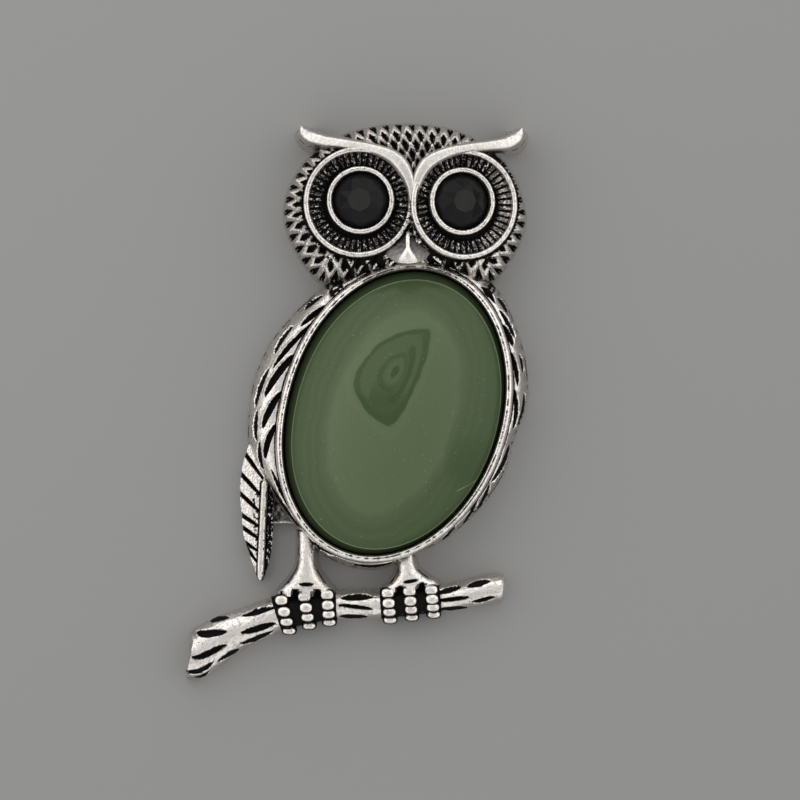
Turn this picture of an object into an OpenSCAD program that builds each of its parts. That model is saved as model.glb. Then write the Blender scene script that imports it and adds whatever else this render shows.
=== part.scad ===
// Owl brooch: a hollow-backed casting that holds one large oval stone and two eye stones.
// It lies on its back, so +Z is the way the owl faces and +Y is the top of its head.
// Plan positions are worked out about the centre of the oval stone and moved to the
// middle of the outline at the end.

/* [Oval stone] */
// Length of the stone
stone_l = 30; // [25:0.5:40]
// Width of the stone
stone_w = 22; // [18:0.5:30]
// Height of the stone
stone_h = 5.4; // [4:0.1:8]
// Height of the upright side under the bevel
stone_side = 1; // [0.5:0.1:2]
// Height of the bevel between the side and the dome
stone_bevel = 0.7; // [0.3:0.1:1.2]
// Width of the bevel
stone_bevel_w = 0.7; // [0.3:0.1:1.2]
// Lean of the stone's top towards the right, in degrees
stone_lean = 19; // [0:1:30]

/* [Setting] */
// Free play round each stone
stone_gap = 0.08; // [0.04:0.01:0.2]
// Thickness of the seat's floor
seat_floor = 1.2; // [0.8:0.1:1.8]
// Depth of the hollow behind the seat
seat_hollow = 1.2; // [0.6:0.1:1.6]
// Width of the bezel's rim
rim_w = 0.7; // [0.5:0.05:1.2]
// Height of the bezel above the seat
rim_h = 2.5; // [1.8:0.1:3.5]

/* [Wings] */
// Widest reach of the wing outside the bezel
wing_w = 3.1; // [2:0.1:5]
// Height of the wing at the bezel
wing_h = 3.7; // [2.5:0.1:4.5]
// Height of the casting's outer edge
edge_h = 1.4; // [1:0.1:2]
// Slope of the cast sides, in degrees
draft = 10; // [4:1:15]
// Depth of the cuts between wing feathers
cut_d = 0.5; // [0.2:0.05:0.8]

/* [Head] */
// Width of the head
head_w = 25.5; // [22:0.5:30]
// Length of the head from crown to chin
head_l = 16.8; // [15:0.2:20]
// Height of the head's dome
head_h = 7; // [6:0.1:9]
// Sideways place of the head's middle from the oval stone's middle
head_x = 1.2; // [-1:0.1:3]
// How far the head's middle lies above the bezel's top
head_rise = 6.1; // [5.6:0.1:7]
// Thickness of the head's outer wall
wall = 1.4; // [1:0.1:2]
// Depth of the hollow behind the head
hollow_h = 3.4; // [3:0.1:3.6]

/* [Head feathers] */
// Distance between feather tips along a row
feather_pitch = 1.32; // [1:0.02:1.8]
// Length of each pit between feathers
pit_l = 1.2; // [0.8:0.05:1.5]
// Width of each pit between feathers
pit_w = 0.76; // [0.4:0.02:0.9]
// Depth of each pit between feathers
pit_d = 0.45; // [0.2:0.05:0.6]

/* [Eyes] */
// Width of an eye stone
eye_d = 5.7; // [5:0.1:6.5]
// Height of an eye stone
eye_h = 2.1; // [1.6:0.1:2.6]
// Width of an eye stone's flat table
table_d = 2.4; // [1.8:0.1:3.4]
// Width of the ribbed disc round an eye, between the middles of its wires
disc_d = 10.8; // [10:0.1:11.4]
// Thickness of the ring wires
wire_t = 0.56; // [0.4:0.02:0.8]
// Depth of the dished disc
dish_d = 0.85; // [0.5:0.05:1.1]
// Ribs on each disc
ribs = 46; // [30:1:56]
// Width of a rib
rib_w = 0.34; // [0.2:0.02:0.5]
// Height of a rib above the dish
rib_h = 0.3; // [0.15:0.05:0.5]

/* [Brows and beak] */
// Height of the brow horns at the bridge
brow_h = 7.6; // [7:0.1:9]
// Widest half width of a brow horn
brow_w = 0.72; // [0.5:0.02:1]
// Width of the beak
beak_w = 4.2; // [3:0.1:5]
// Length of the beak
beak_l = 3.6; // [3:0.1:4.4]
// Height of the beak above the back
beak_h = 7.5; // [6.5:0.1:8.5]

/* [Tail] */
// Length of the tail feather
tail_l = 14.2; // [10:0.2:16]
// Width of the tail feather's left side
tail_w = 2.5; // [1.8:0.1:3.5]
// Width of the tail feather's quill
quill_w = 0.64; // [0.4:0.02:0.9]
// Height of the tail feather's quill
quill_h = 2.6; // [2:0.1:3.2]
// Width of the cuts between the feather's barbs
barb_cut = 0.38; // [0.2:0.02:0.6]

/* [Legs and branch] */
// Width of a leg
leg_w = 1.8; // [1.4:0.1:2.4]
// Height of a leg above the back
leg_h = 3.4; // [2.6:0.1:4]
// Width of a toe
toe_w = 1.3; // [1:0.05:1.5]
// Distance between two toes
toe_step = 2.2; // [1.8:0.05:2.4]
// Length of the branch
branch_l = 32.6; // [28:0.5:38]
// Thickness of the branch at its middle
branch_t = 3.1; // [2.6:0.1:4]
// Height of the branch above the back
branch_h = 3; // [2.4:0.1:3.6]
// How far the branch's middle lies below the bezel
branch_drop = 4.6; // [4:0.1:6]

/* [Pin] */
// Length of the pin's bar
bar_l = 18; // [14:0.5:19]
// Width of the pin's bar
bar_w = 3; // [2:0.1:4]
// Thickness of the pin's bar
bar_t = 0.8; // [0.6:0.1:1]
// Thickness of the pin's stem
stem_t = 0.8; // [0.6:0.05:1]
// Height of the stem's middle above the back
stem_z = 0.9; // [0.6:0.1:1.1]
// Thickness of the barrel that holds the stem
barrel_d = 1.7; // [1.2:0.1:2]
// Length of the catch along the stem
catch_l = 0.8; // [0.5:0.1:1.4]
// Free play between the bar and the casting
pin_gap = 0.08; // [0.04:0.01:0.2]

/* [Hidden] */
metal = [0.78, 0.77, 0.74];
green = [0.31, 0.36, 0.26];
black = [0.05, 0.05, 0.06];

// Points round an outline, round a ring and between two rows of a table
AROUND = 52;
RING_SIDES = round(ribs / 2);
WIRE_ARC = [180, 122, 58, 0];
STEPS = 2;

// Derived sizes of the setting
seat_z = seat_hollow + seat_floor;
stone_turn = 90 - stone_lean;
pocket_a = stone_l / 2 + stone_gap;
pocket_b = stone_w / 2 + stone_gap;
bezel_a = pocket_a + rim_w;
bezel_b = pocket_b + rim_w;
rim_z = seat_z + rim_h;
bezel_top = norm([bezel_a * sin(stone_turn), bezel_b * cos(stone_turn)]);
head = [head_x, bezel_top + head_rise];
branch_y = -bezel_top - branch_drop;

// Wing reach outside the bezel, as a share of wing_w
//   angle, share
WING = [
    [0, 0.55], [20, 0.62], [33, 0.56], [48, 0.61], [90, 0.50], [120, 0.66], [136, 0.82],
    [150, 0.95], [165, 1.02], [180, 1.00], [193, 0.95], [201, 0.79], [208, 0.59], [215, 0.45],
    [228, 0.28], [247, 0.32], [269, 0.27], [275, 0.13], [291, 0.24], [311, 0.36], [335, 0.45],
    [345, 0.38], [355, 0.47], [360, 0.55]
];
// Height of the wing between its edge and the bezel, as a share of its rise
//   share of the way in, share of the rise
WING_RISE = [[0.18, 0.4], [0.6, 0.92], [1, 1]];

// Cuts between the wing feathers: each runs from one angle and share of the wing to another
//   start angle, start share, end angle, end share, half width as a share of wing_w
CUTS = [
    [121, 0.64, 131, 0.80, 0.068], [122, 0.08, 137, 0.43, 0.100], [139, 0.71, 154, 0.71, 0.068],
    [132, 0.06, 160, 0.57, 0.090], [149, 0.05, 173, 0.56, 0.130], [160, 0.68, 178, 0.82, 0.068],
    [169, 0.06, 187, 0.51, 0.130], [179, 0.75, 192, 0.73, 0.068], [185, 0.04, 200, 0.52, 0.116],
    [192, 0.62, 204, 0.79, 0.068], [205, 0.40, 223, 0.10, 0.068], [211, 0.84, 232, 0.42, 0.068],
    [234, 0.60, 248, 0.35, 0.048], [255, 0.61, 271, 0.60, 0.068],
    [55, 0.33, 47, 0.39, 0.084], [48, 0.70, 41, 0.83, 0.071], [44, 0.40, 31, 0.68, 0.084],
    [39, 0.12, 29, 0.41, 0.110], [27, 0.19, 12, 0.37, 0.084], [25, 0.69, 17, 0.75, 0.052],
    [11, 0.16, -8, 0.60, 0.084], [9, 0.80, -6, 0.92, 0.052], [-15, 0.77, -36, 0.40, 0.084],
    [-36, 0.33, -49, 0.90, 0.068], [-45, 0.10, -58, 0.90, 0.068], [-61, 0.25, -69, 0.90, 0.065]
];

// Outline of the head, from its left side over the crown
//   x as a share of half head_w, y as a share of half head_l
HEAD = [
    [-1.00, -0.13], [-0.98, 0.12], [-0.92, 0.33], [-0.83, 0.55], [-0.67, 0.76], [-0.46, 0.92],
    [-0.16, 1.02], [0.16, 1.02], [0.41, 0.95], [0.60, 0.82], [0.80, 0.59], [0.90, 0.37],
    [0.97, 0.10], [1.00, -0.15], [0.96, -0.43], [0.86, -0.71], [0.73, -0.94], [0.51, -0.91],
    [0.28, -0.81], [0.00, -0.81], [-0.24, -0.88], [-0.45, -0.95], [-0.67, -0.96], [-0.77, -0.86],
    [-0.88, -0.63], [-0.96, -0.38]
];
// Sections of the dome, from its edge in to its top, as shares of the outline
DOME = [0.97, 0.89, 0.71, 0.46];

// Rows of feather pits: share of the outline, and the row's shift in pitches
PIT_ROWS = [[0.945, 0], [0.85, 0.5], [0.745, 0], [0.63, 0.5], [0.51, 0]];

// Each eye: place from the head's middle, disc height, lean to the left, and the inner ring's
// own shift in its disc
//   x as a share of half head_w, y as a share of half head_l, height as a share of head_h,
//   lean, shift x and shift y as shares of eye_d
EYES = [
    [-0.372, 0.01, 0.9, 5, 0.035, 0.035],
    [0.478, -0.015, 0.865, -15, -0.035, 0.053]
];
EYE_X = 0;
EYE_Y = 1;
EYE_Z = 2;
EYE_LEAN = 3;
EYE_SHIFT = [4, 5];

// Left and right brow horn, from the bridge out to the tip
//   x and y as shares of the head's half sizes, half width as a share of brow_w,
//   height as a share of brow_h
BROW_LEFT = [
    [0.065, -0.25, 0.40, 0.93], [0.055, 0.06, 0.45, 0.97], [0.040, 0.25, 0.75, 1.00],
    [-0.015, 0.43, 1.00, 1.00], [-0.088, 0.55, 0.97, 0.97], [-0.193, 0.63, 0.80, 0.93],
    [-0.323, 0.685, 0.72, 0.87], [-0.485, 0.73, 0.70, 0.80], [-0.648, 0.77, 0.78, 0.71],
    [-0.768, 0.83, 0.75, 0.62], [-0.823, 0.90, 0.45, 0.54], [-0.840, 0.95, 0.15, 0.49]
];
BROW_RIGHT = [
    [0.072, -0.25, 0.40, 0.93], [0.076, 0.06, 0.45, 0.97], [0.099, 0.25, 0.75, 1.00],
    [0.156, 0.43, 0.95, 1.00], [0.237, 0.54, 0.93, 0.97], [0.367, 0.625, 0.77, 0.92],
    [0.530, 0.68, 0.66, 0.84], [0.692, 0.71, 0.73, 0.75], [0.813, 0.74, 0.85, 0.67],
    [0.893, 0.80, 0.78, 0.60], [0.934, 0.875, 0.40, 0.53], [0.947, 0.915, 0.15, 0.49]
];
// Section across a brow horn: side as a share of its half width, height as a share of its own
HORN_SECTION = [[1, 0.84], [0.72, 0.96], [0, 1], [-0.72, 0.96], [-1, 0.84]];

// The tail feather from its root to its tip
//   way along, left width as a share of tail_w, right width as a share of tail_w, quill width share
TAIL = [
    [0.00, 0.72, 0.10, 0.90], [0.11, 0.90, 0.15, 0.95], [0.26, 1.02, 0.20, 0.95],
    [0.40, 1.00, 0.36, 1.00], [0.52, 0.90, 0.42, 1.00], [0.63, 0.83, 0.42, 1.00],
    [0.74, 0.67, 0.40, 1.05], [0.84, 0.44, 0.34, 1.05], [0.93, 0.24, 0.22, 1.00],
    [1.00, 0.10, 0.10, 0.90]
];
// Where the quill's sections stand on the tail
QUILL = [0.22, 0.48, 0.79, 0.96, 0.995];
TAIL_LEAN = 2.7;
TAIL_ANGLE = 194;
// Cuts between the tail's barbs: way along at the quill, and slope in degrees
BARBS = [[0.27, 51], [0.40, 44], [0.52, 40], [0.62, 30], [0.71, 32], [0.80, 30], [0.90, 50]];

// Legs: places across the outline, as shares of branch_l
//   ankle, foot
LEGS = [[-0.275, -0.276], [0.034, 0.055]];
// A leg from its ankle down to the toes
//   way down, width as a share of leg_w, height as a share of leg_h
LEG = [
    [0, 0.75, 0.85], [0.5, 0.75, 1.0], [0.67, 0.95, 1.02], [0.79, 1.6, 1.04], [0.9, 2.2, 1.06],
    [1, 2.7, 1.04]
];
// Toes on each foot
TOES = 3;
// Beads of a toe: place across the branch, and height as a share of branch_h
BEADS = [[0.84, 1.08], [0.16, 1.14], [-0.42, 1.06], [-0.98, 0.78]];
BEAD_SIDES = 8;

// The branch, from its thick cut end to its thin end
//   x from the thick end and y as shares of branch_l, half thickness as a share of branch_t
BRANCH = [
    [0.000, -0.160, 0.74], [0.035, -0.150, 0.80], [0.115, -0.097, 0.71], [0.195, -0.064, 0.65],
    [0.280, -0.029, 0.60], [0.385, -0.008, 0.54], [0.480, 0.000, 0.51], [0.600, 0.002, 0.51],
    [0.700, 0.011, 0.49], [0.795, 0.020, 0.46], [0.890, 0.034, 0.50], [0.955, 0.051, 0.51],
    [0.990, 0.055, 0.47], [1.000, 0.055, 0.36]
];
BRANCH_LEFT = -0.645;
// Section across the branch: side as a share of its half thickness, height share
BRANCH_SECTION = [
    [1, 0.0], [1.0, 0.25], [0.86, 0.64], [0.5, 0.92], [0, 1], [-0.5, 0.92], [-0.86, 0.64],
    [-1.0, 0.25], [-1, 0.0]
];
// Cuts in the bark: way along and across the branch
//   start along, end along, across at the start, across at the end, half width as a share of branch_t
BARK = [
    [0.015, 0.105, 0.72, 0.42, 0.116], [0.015, 0.115, -0.12, -0.35, 0.097],
    [0.055, 0.110, 0.98, 0.95, 0.058], [0.155, 0.255, 0.15, 0.45, 0.084],
    [0.155, 0.260, -0.55, -0.30, 0.084], [0.025, 0.080, -0.80, -0.90, 0.071],
    [0.480, 0.580, 0.50, 0.55, 0.106], [0.470, 0.580, 0.05, -0.25, 0.071],
    [0.790, 0.870, 0.55, 0.60, 0.071], [0.785, 0.885, 0.05, -0.10, 0.071],
    [0.885, 0.955, 0.55, 0.50, 0.084], [0.895, 0.965, -0.55, -0.60, 0.065],
    [0.780, 0.875, -0.74, -0.83, 0.065]
];

// Vectors, tables and curves
function unit(v) = v / norm(v);
function lerp(a, b, t) = a + (b - a) * t;
function on_circle(r, a) = [r * cos(a), r * sin(a)];
function spline(p, q, r, s, t) =
    0.5 * (2 * q + (r - p) * t + (2 * p - 5 * q + 4 * r - s) * t * t
           + (3 * q - p - 3 * r + s) * t * t * t);
function closed_curve(rows, steps) =
    let(n = len(rows))
    [for (i = [0:n - 1], k = [0:steps - 1])
        spline(rows[(i + n - 1) % n], rows[i], rows[(i + 1) % n], rows[(i + 2) % n], k / steps)];
function open_curve(rows, steps) =
    let(n = len(rows))
    [for (i = [0:n - 2], k = [0:steps - 1])
        spline(rows[max(i - 1, 0)], rows[i], rows[i + 1], rows[min(i + 2, n - 1)], k / steps),
     rows[n - 1]];
// The place at a share of the way along a curve that has the share itself in its first column
function at_share(curve, share) =
    [for (c = [0:len(curve[0]) - 1]) lookup(share, [for (p = curve) [p[0], p[c]]])];

// Radius of an ellipse that leans with the stone, in a direction
function oval_r(a, b, angle) =
    a * b / norm([b * cos(angle - stone_turn), a * sin(angle - stone_turn)]);
function wing_reach(angle) = wing_w * lookup((angle + 360) % 360, WING);
function body_point(angle, share) =
    on_circle(oval_r(bezel_a, bezel_b, angle) + wing_reach(angle) * share, angle);
function oval_ring(a, b, z) =
    [for (i = [0:AROUND - 1]) let(t = 360 * i / AROUND)
        concat(on_circle(oval_r(a, b, t), t), z)];
function body_ring(share, z) =
    [for (i = [0:AROUND - 1]) concat(body_point(360 * i / AROUND, share), z)];
function wing_z(share_in) = edge_h + (wing_h - edge_h) * lookup(share_in, concat([[0, 0]], WING_RISE));

// A plan position on the head from shares of its half sizes
function on_head(x, y) = head + [x * head_w / 2, y * head_l / 2];
HEAD_OUTLINE = reverse([for (p = closed_curve(HEAD, STEPS)) [p.x * head_w / 2, p.y * head_l / 2]]);
function reverse(list) = [for (i = [len(list) - 1:-1:0]) list[i]];
function dome_z(share) = edge_h + (head_h - edge_h) * sqrt(max(0, 1 - pow(share, 3)));
function head_ring(share, z, inset = 0) =
    [for (p = HEAD_OUTLINE) concat(head + p * share - unit(p) * inset, z)];

// Solid between rings that have the same number of points, each listed anticlockwise
module stacked(rings) {
    n = len(rings[0]);
    m = len(rings);
    polyhedron(
        points = [for (ring = rings) each ring],
        faces = concat(
            [[for (i = [0:n - 1]) i], [for (i = [n - 1:-1:0]) (m - 1) * n + i]],
            [for (k = [0:m - 2], i = [0:n - 1]) let(j = (i + 1) % n, low = k * n, top = low + n)
                each [[low + i, top + i, top + j], [low + i, top + j, low + j]]]
        ),
        convexity = 6
    );
}

// Solid swept along a path of [x, y, half width, height], with a section of
// [side share, height share] and sides that spread by the draft down to the back
module ribbon(path, section, slope = draft) {
    last = len(path) - 1;
    stacked([for (i = [0:last])
        let(
            from = path[max(i - 1, 0)],
            to = path[min(i + 1, last)],
            way = unit([to[0] - from[0], to[1] - from[1]]),
            left = [-way[1], way[0]],
            here = [path[i][0], path[i][1]],
            foot = path[i][2] + path[i][3] * section[0][1] * tan(slope)
        )
        concat(
            [concat(here + left * foot, 0)],
            [for (s = section) concat(here + left * path[i][2] * s[0], path[i][3] * s[1])],
            [concat(here - left * foot, 0)]
        )
    ]);
}

// Boat-shaped cut between two points of a surface, over a middle point of it. It reaches
// above the surface by grow times its depth.
module lens_cut(from, middle, to, half_w, depth) {
    way = unit([to.x - from.x, to.y - from.y]);
    side = [-way.y, way.x, 0] * half_w;
    grow = 1.2;
    down = [0, 0, depth];
    keel = [lerp(middle, from, 0.4) - down, lerp(middle, to, 0.4) - down];
    rim = [from, middle + side, to, middle - side];
    hull()
        polyhedron(
            points = concat(keel, [for (p = rim) p + (p - middle + down) * grow]),
            faces = [[0, 1, 2], [0, 1, 3], [0, 1, 4], [0, 1, 5], [2, 3, 4], [2, 4, 5]]
        );
}

// Head: domed shell with rows of pits between the feather tips
module head_dome() {
    stacked(concat(
        [head_ring(1, 0), head_ring(1, edge_h, edge_h * tan(draft))],
        [for (s = DOME) head_ring(s, dome_z(s))]
    ));
}

module head_hollow() {
    low = head_ring(1, -hollow_h * 0.3, wall);
    stacked([low, head_ring(0.97, hollow_h * 0.5, wall), head_ring(0.86, hollow_h, wall)]);
}

// Distance along the outline at each of its points, for spacing the pits
function lengths(points, i = 0, sum = 0) =
    i == len(points) ? [sum]
    : concat([sum], lengths(points, i + 1, sum + norm(points[(i + 1) % len(points)] - points[i])));
OUTLINE_LENGTHS = lengths(HEAD_OUTLINE);
OUTLINE_LENGTH = OUTLINE_LENGTHS[len(HEAD_OUTLINE)];
PITS_ROUND = round(OUTLINE_LENGTH / feather_pitch);
function outline_at(distance) =
    [for (c = [0:1]) lookup(distance, [for (i = [0:len(HEAD_OUTLINE)])
        [OUTLINE_LENGTHS[i], HEAD_OUTLINE[i % len(HEAD_OUTLINE)][c]]])];
function eye_place(eye) = on_head(eye[EYE_X], eye[EYE_Y]);
function clear_of_eyes(p) =
    min([for (eye = EYES) norm(p - eye_place(eye))]) > disc_d / 2 + wire_t * 0.5;
function clear_of_bezel(p) =
    norm(p) > oval_r(bezel_a, bezel_b, atan2(p.y, p.x)) + pit_w * 0.4;
function clear_of_brows(p) =
    min([for (rows = [BROW_LEFT, BROW_RIGHT], row = open_curve(rows, 2))
        norm(p - on_head(row[0], row[1])) - row[2] * brow_w]) > pit_w * 0.15;

module feather_pits() {
    for (row = PIT_ROWS, i = [0:PITS_ROUND - 1]) {
        edge = outline_at(OUTLINE_LENGTH * ((i + row[1]) % PITS_ROUND) / PITS_ROUND);
        place = head + edge * row[0];
        step = 0.02;
        slope = atan2(dome_z(row[0] - step) - dome_z(row[0] + step), 2 * step * norm(edge));
        narrow = row[0] < 0.7 ? 0.8 : 1;
        if (clear_of_eyes(place) && clear_of_bezel(place) && clear_of_brows(place))
            translate(concat(place, dome_z(row[0])))
                rotate([0, 0, atan2(edge.y, edge.x)])
                    rotate([0, slope, 0])
                        scale([pit_l / 2, narrow * pit_w / 2, pit_d])
                            translate([0, 0, -1])
                                cylinder(h = 2, r1 = 0, r2 = 2, $fn = 4);
    }
}

// Eyes: everything in an eye's own leaning frame, with the outer wire's middle at height 0
module in_eye(eye) {
    translate(concat(eye_place(eye), eye[EYE_Z] * head_h))
        rotate([0, -eye[EYE_LEAN], 0])
            children();
}

module at_stone(eye)
    translate([eye[EYE_SHIFT[0]], eye[EYE_SHIFT[1]], 0] * eye_d)
        children();

inner_ring_r = eye_d / 2 + stone_gap + wire_t / 2;
disc_r = disc_d / 2;
// Heights in an eye's frame: the dish at its edge, the stone's seat and the disc's underside
dish_edge = -dish_d * 0.35;
stone_seat = -dish_d * 1.4;
dish_base = -dish_d * 1.7;
function wire_top(r) = [for (a = WIRE_ARC) [r, 0] + on_circle(wire_t / 2, a)];

module dish_cut()
    translate([0, 0, -dish_d])
        cylinder(h = head_h, r = disc_r, $fn = RING_SIDES);

module dish_and_wire()
    rotate_extrude($fn = RING_SIDES)
        polygon(concat(
            [[0, -dish_d], [inner_ring_r, -dish_d], [disc_r - wire_t / 2, dish_edge]],
            wire_top(disc_r),
            [[disc_r + wire_t / 2, dish_base], [0, dish_base]]
        ));

module stone_cup()
    rotate_extrude($fn = RING_SIDES)
        polygon(concat(
            [[0, dish_base], [0, 0]],
            wire_top(inner_ring_r),
            [[inner_ring_r + wire_t / 2, dish_base]]
        ));

module eye_ribs() {
    slope = atan2(dish_edge + dish_d, disc_r - wire_t / 2 - inner_ring_r);
    start = -wire_t * 0.4;
    for (i = [0:ribs - 1])
        rotate([0, 0, 360 * (i + 0.5) / ribs])
            translate([inner_ring_r, 0, -dish_d])
                rotate([0, -slope, 0])
                    translate([start, 0, 0])
                        rotate([90, 0, 90])
                            linear_extrude(height = disc_r - inner_ring_r - start)
                                polygon([[-rib_w / 2, -rib_h / 3], [rib_w / 2, -rib_h / 3], [0, rib_h]]);
}

module eye_metal(eye) {
    in_eye(eye) {
        dish_and_wire();
        eye_ribs();
        at_stone(eye)
            stone_cup();
    }
}

module eye_pocket(eye)
    in_eye(eye)
        at_stone(eye)
            translate([0, 0, stone_seat])
                cylinder(h = head_h, r = eye_d / 2 + stone_gap, $fn = RING_SIDES);

// Brow horns and beak
module brow(rows)
    ribbon(
        [for (p = rows) concat(on_head(p[0], p[1]), p[2] * brow_w, p[3] * brow_h)],
        HORN_SECTION
    );

module beak() {
    top = on_head((BROW_LEFT[0][0] + BROW_RIGHT[0][0]) / 2 - 0.02, -0.32);
    edge_z = beak_h * 0.75;
    root_z = hollow_h + pin_gap * 2;
    translate(concat(top, 0))
        hull() {
            translate([0, 0, root_z])
                linear_extrude(height = edge_z - root_z)
                    polygon([
                        [0, 0], [-0.26 * beak_w, -0.3 * beak_l], [-0.5 * beak_w, -0.64 * beak_l],
                        [-0.46 * beak_w, -0.74 * beak_l], [-0.26 * beak_w, -0.92 * beak_l],
                        [0, -beak_l], [0.26 * beak_w, -0.92 * beak_l], [0.46 * beak_w, -0.74 * beak_l],
                        [0.5 * beak_w, -0.64 * beak_l], [0.26 * beak_w, -0.3 * beak_l]
                    ]);
            translate([0, -0.12 * beak_l, beak_h * 0.9])
                sphere(r = beak_w * 0.04, $fn = 8);
            translate([0, -0.66 * beak_l, beak_h - beak_w * 0.11])
                sphere(r = beak_w * 0.11, $fn = 10);
            translate([0, -0.82 * beak_l, beak_h * 0.84])
                sphere(r = beak_w * 0.12, $fn = 10);
        }
}

// Body: the wing band round the stone's bezel
function on_wing(angle, share) = concat(body_point(angle, share), wing_z(1 - share));
module wing_band() {
    stacked(concat(
        [body_ring(1, 0), [for (i = [0:AROUND - 1])
            let(a = 360 * i / AROUND, p = body_point(a, 1))
            concat(p - unit(p) * edge_h * tan(draft), edge_h)]],
        [for (row = WING_RISE) body_ring(1 - row[0] * 0.98, wing_z(row[0]))]
    ));
}

module wing_cuts() {
    for (row = CUTS) {
        lens_cut(
            on_wing(row[0], row[1]),
            on_wing((row[0] + row[2]) / 2, (row[1] + row[3]) / 2),
            on_wing(row[2], row[3]),
            row[4] * wing_w, cut_d
        );
    }
}

module bezel() {
    round = rim_w * 0.3;
    stacked([
        oval_ring(bezel_a, bezel_b, 0),
        oval_ring(bezel_a, bezel_b, rim_z - round),
        oval_ring(bezel_a - round, bezel_b - round, rim_z)
    ]);
}

module stone_pocket() {
    lip = rim_w * 0.3;
    stacked([
        oval_ring(pocket_a, pocket_b, seat_z),
        oval_ring(pocket_a, pocket_b, rim_z - lip),
        oval_ring(pocket_a + lip, pocket_b + lip, rim_z + stone_gap / 4),
        oval_ring(pocket_a + lip, pocket_b + lip, head_h * 1.3)
    ]);
}

module seat_hollow_cut() {
    low = wall * 1.2;
    top = low + 2 * seat_hollow * tan(draft);
    stacked([
        oval_ring(bezel_a - low, bezel_b - low, -seat_hollow),
        oval_ring(bezel_a - top, bezel_b - top, seat_hollow)
    ]);
}

// Tail feather: a quill with a slatted left side and a slim right side
tail_root = body_point(TAIL_ANGLE, 0.37);
function on_tail(along, side) =
    let(down = on_circle(tail_l, 270 - TAIL_LEAN))
    tail_root + down * along + unit([-down.y, down.x]) * side;

module tail_vanes() {
    stacked([for (row = TAIL)
        let(
            left = on_tail(row[0], -tail_w * row[1]),
            right = on_tail(row[0], tail_w * row[2]),
            spine = on_tail(row[0], 0)
        )
        [
            concat(right, 0), concat(right, edge_h * 0.8), concat(spine, quill_h * 0.72),
            concat(left, edge_h * 0.8), concat(left, 0)
        ]
    ]);
}

module tail_quill()
    ribbon(
        [for (along = QUILL)
            concat(on_tail(along, 0), quill_w / 2 * at_share(TAIL, along)[3], quill_h)],
        HORN_SECTION, 2
    );

module tail_cuts() {
    for (row = BARBS) {
        start = on_tail(row[0], -quill_w * 0.4);
        translate([start.x, start.y, edge_h * 0.5])
            rotate([0, 0, -row[1]])
                translate([-tail_w * 1.6, -barb_cut / 2, 0])
                    cube([tail_w * 1.6, barb_cut, quill_h]);
    }
}

module tail_web() {
    linear_extrude(height = edge_h * 0.75)
        polygon([
            on_tail(0.2, tail_w * 0.12), on_tail(0.58, tail_w * 0.36), on_tail(0.57, tail_w * 0.9),
            body_point(230, 0.3), body_point(218, -0.5), body_point(205, -0.3)
        ]);
}

// Branch, and the feet that grip it
function branch_place(row) =
    [(BRANCH_LEFT + row[0]) * branch_l, branch_y + row[1] * branch_l, row[2] * branch_t, branch_h];
BRANCH_PATH = [for (row = BRANCH) branch_place(row)];
function on_branch(along, across) =
    let(
        p = branch_place(at_share(BRANCH, along)),
        q = branch_place(at_share(BRANCH, min(along + 0.01, 1))),
        o = branch_place(at_share(BRANCH, max(along - 0.01, 0))),
        way = unit([q[0] - o[0], q[1] - o[1]]),
        rise = sqrt(max(0, 1 - across * across))
    )
    [p[0] - way[1] * p[2] * across, p[1] + way[0] * p[2] * across, branch_h * rise];
function branch_share_at(x) = x / branch_l - BRANCH_LEFT;

module branch()
    ribbon(BRANCH_PATH, BRANCH_SECTION, 0);

module bark_cuts() {
    for (row = BARK)
        lens_cut(
            on_branch(row[0], row[2]),
            on_branch((row[0] + row[1]) / 2, (row[2] + row[3]) / 2),
            on_branch(row[1], row[3]),
            row[4] * branch_t, cut_d
        );
}

function ankle_x(leg) = leg[0] * branch_l;
function foot_x(leg) = leg[1] * branch_l;

module foot(leg) {
    ankle = body_point(atan2(-bezel_top, ankle_x(leg)), 0.2);
    top = [ankle_x(leg), ankle.y + leg_w * 0.67];
    middle = on_branch(branch_share_at(foot_x(leg)), 0);
    end = [foot_x(leg), middle.y + branch_t * 0.58];
    ribbon(
        [for (row = LEG) concat(lerp(top, end, row[0]), leg_w / 2 * row[1], leg_h * row[2])],
        HORN_SECTION
    );
    for (t = [0:TOES - 1], bead = BEADS) {
        x = foot_x(leg) + (t - (TOES - 1) / 2) * toe_step;
        toe_bead(on_branch(branch_share_at(x), bead[0]), bead[1] * branch_h);
    }
}

// One rounded joint of a toe, with its foot inside the branch
module toe_bead(place, top) {
    round_h = toe_w * 0.35;
    function loop(share, z) =
        [for (i = [0:BEAD_SIDES - 1]) let(p = on_circle(share, 360 * (i + 0.5) / BEAD_SIDES))
            [place.x + p.x * toe_w / 2, place.y + p.y * branch_t * 0.17, z]];
    stacked([loop(1, edge_h * 0.4), loop(1, top - round_h), loop(0.55, top)]);
}

module foot_slot(leg) {
    x = foot_x(leg);
    y = on_branch(branch_share_at(x), 0).y + branch_t * 0.8;
    half = leg_w * 0.42;
    lens_cut([x - half, y, leg_h], [x, y, leg_h * 1.05], [x + half, y, leg_h], leg_w * 0.13, cut_d);
}

// Everything is placed about the oval stone's centre, then moved to the middle of the outline
BROW_TIPS = [for (rows = [BROW_LEFT, BROW_RIGHT]) let(p = rows[len(rows) - 1]) on_head(p[0], p[1])];
EXTENT_POINTS = concat(
    [for (p = HEAD_OUTLINE) head + p],
    [for (p = body_ring(1, 0)) [p.x, p.y]],
    [for (p = BROW_TIPS) p + [0, brow_w * 0.15 + brow_h * 0.49 * tan(draft)]],
    [for (p = BRANCH_PATH) [p[0], p[1] - p[2]]],
    [for (p = BRANCH_PATH) [p[0], p[1] + p[2]]]
);
function extent(axis) =
    let(values = [for (p = EXTENT_POINTS) p[axis]])
    (min(values) + max(values)) / 2;

module placed()
    translate([-extent(0), -extent(1), 0])
        children();

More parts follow.
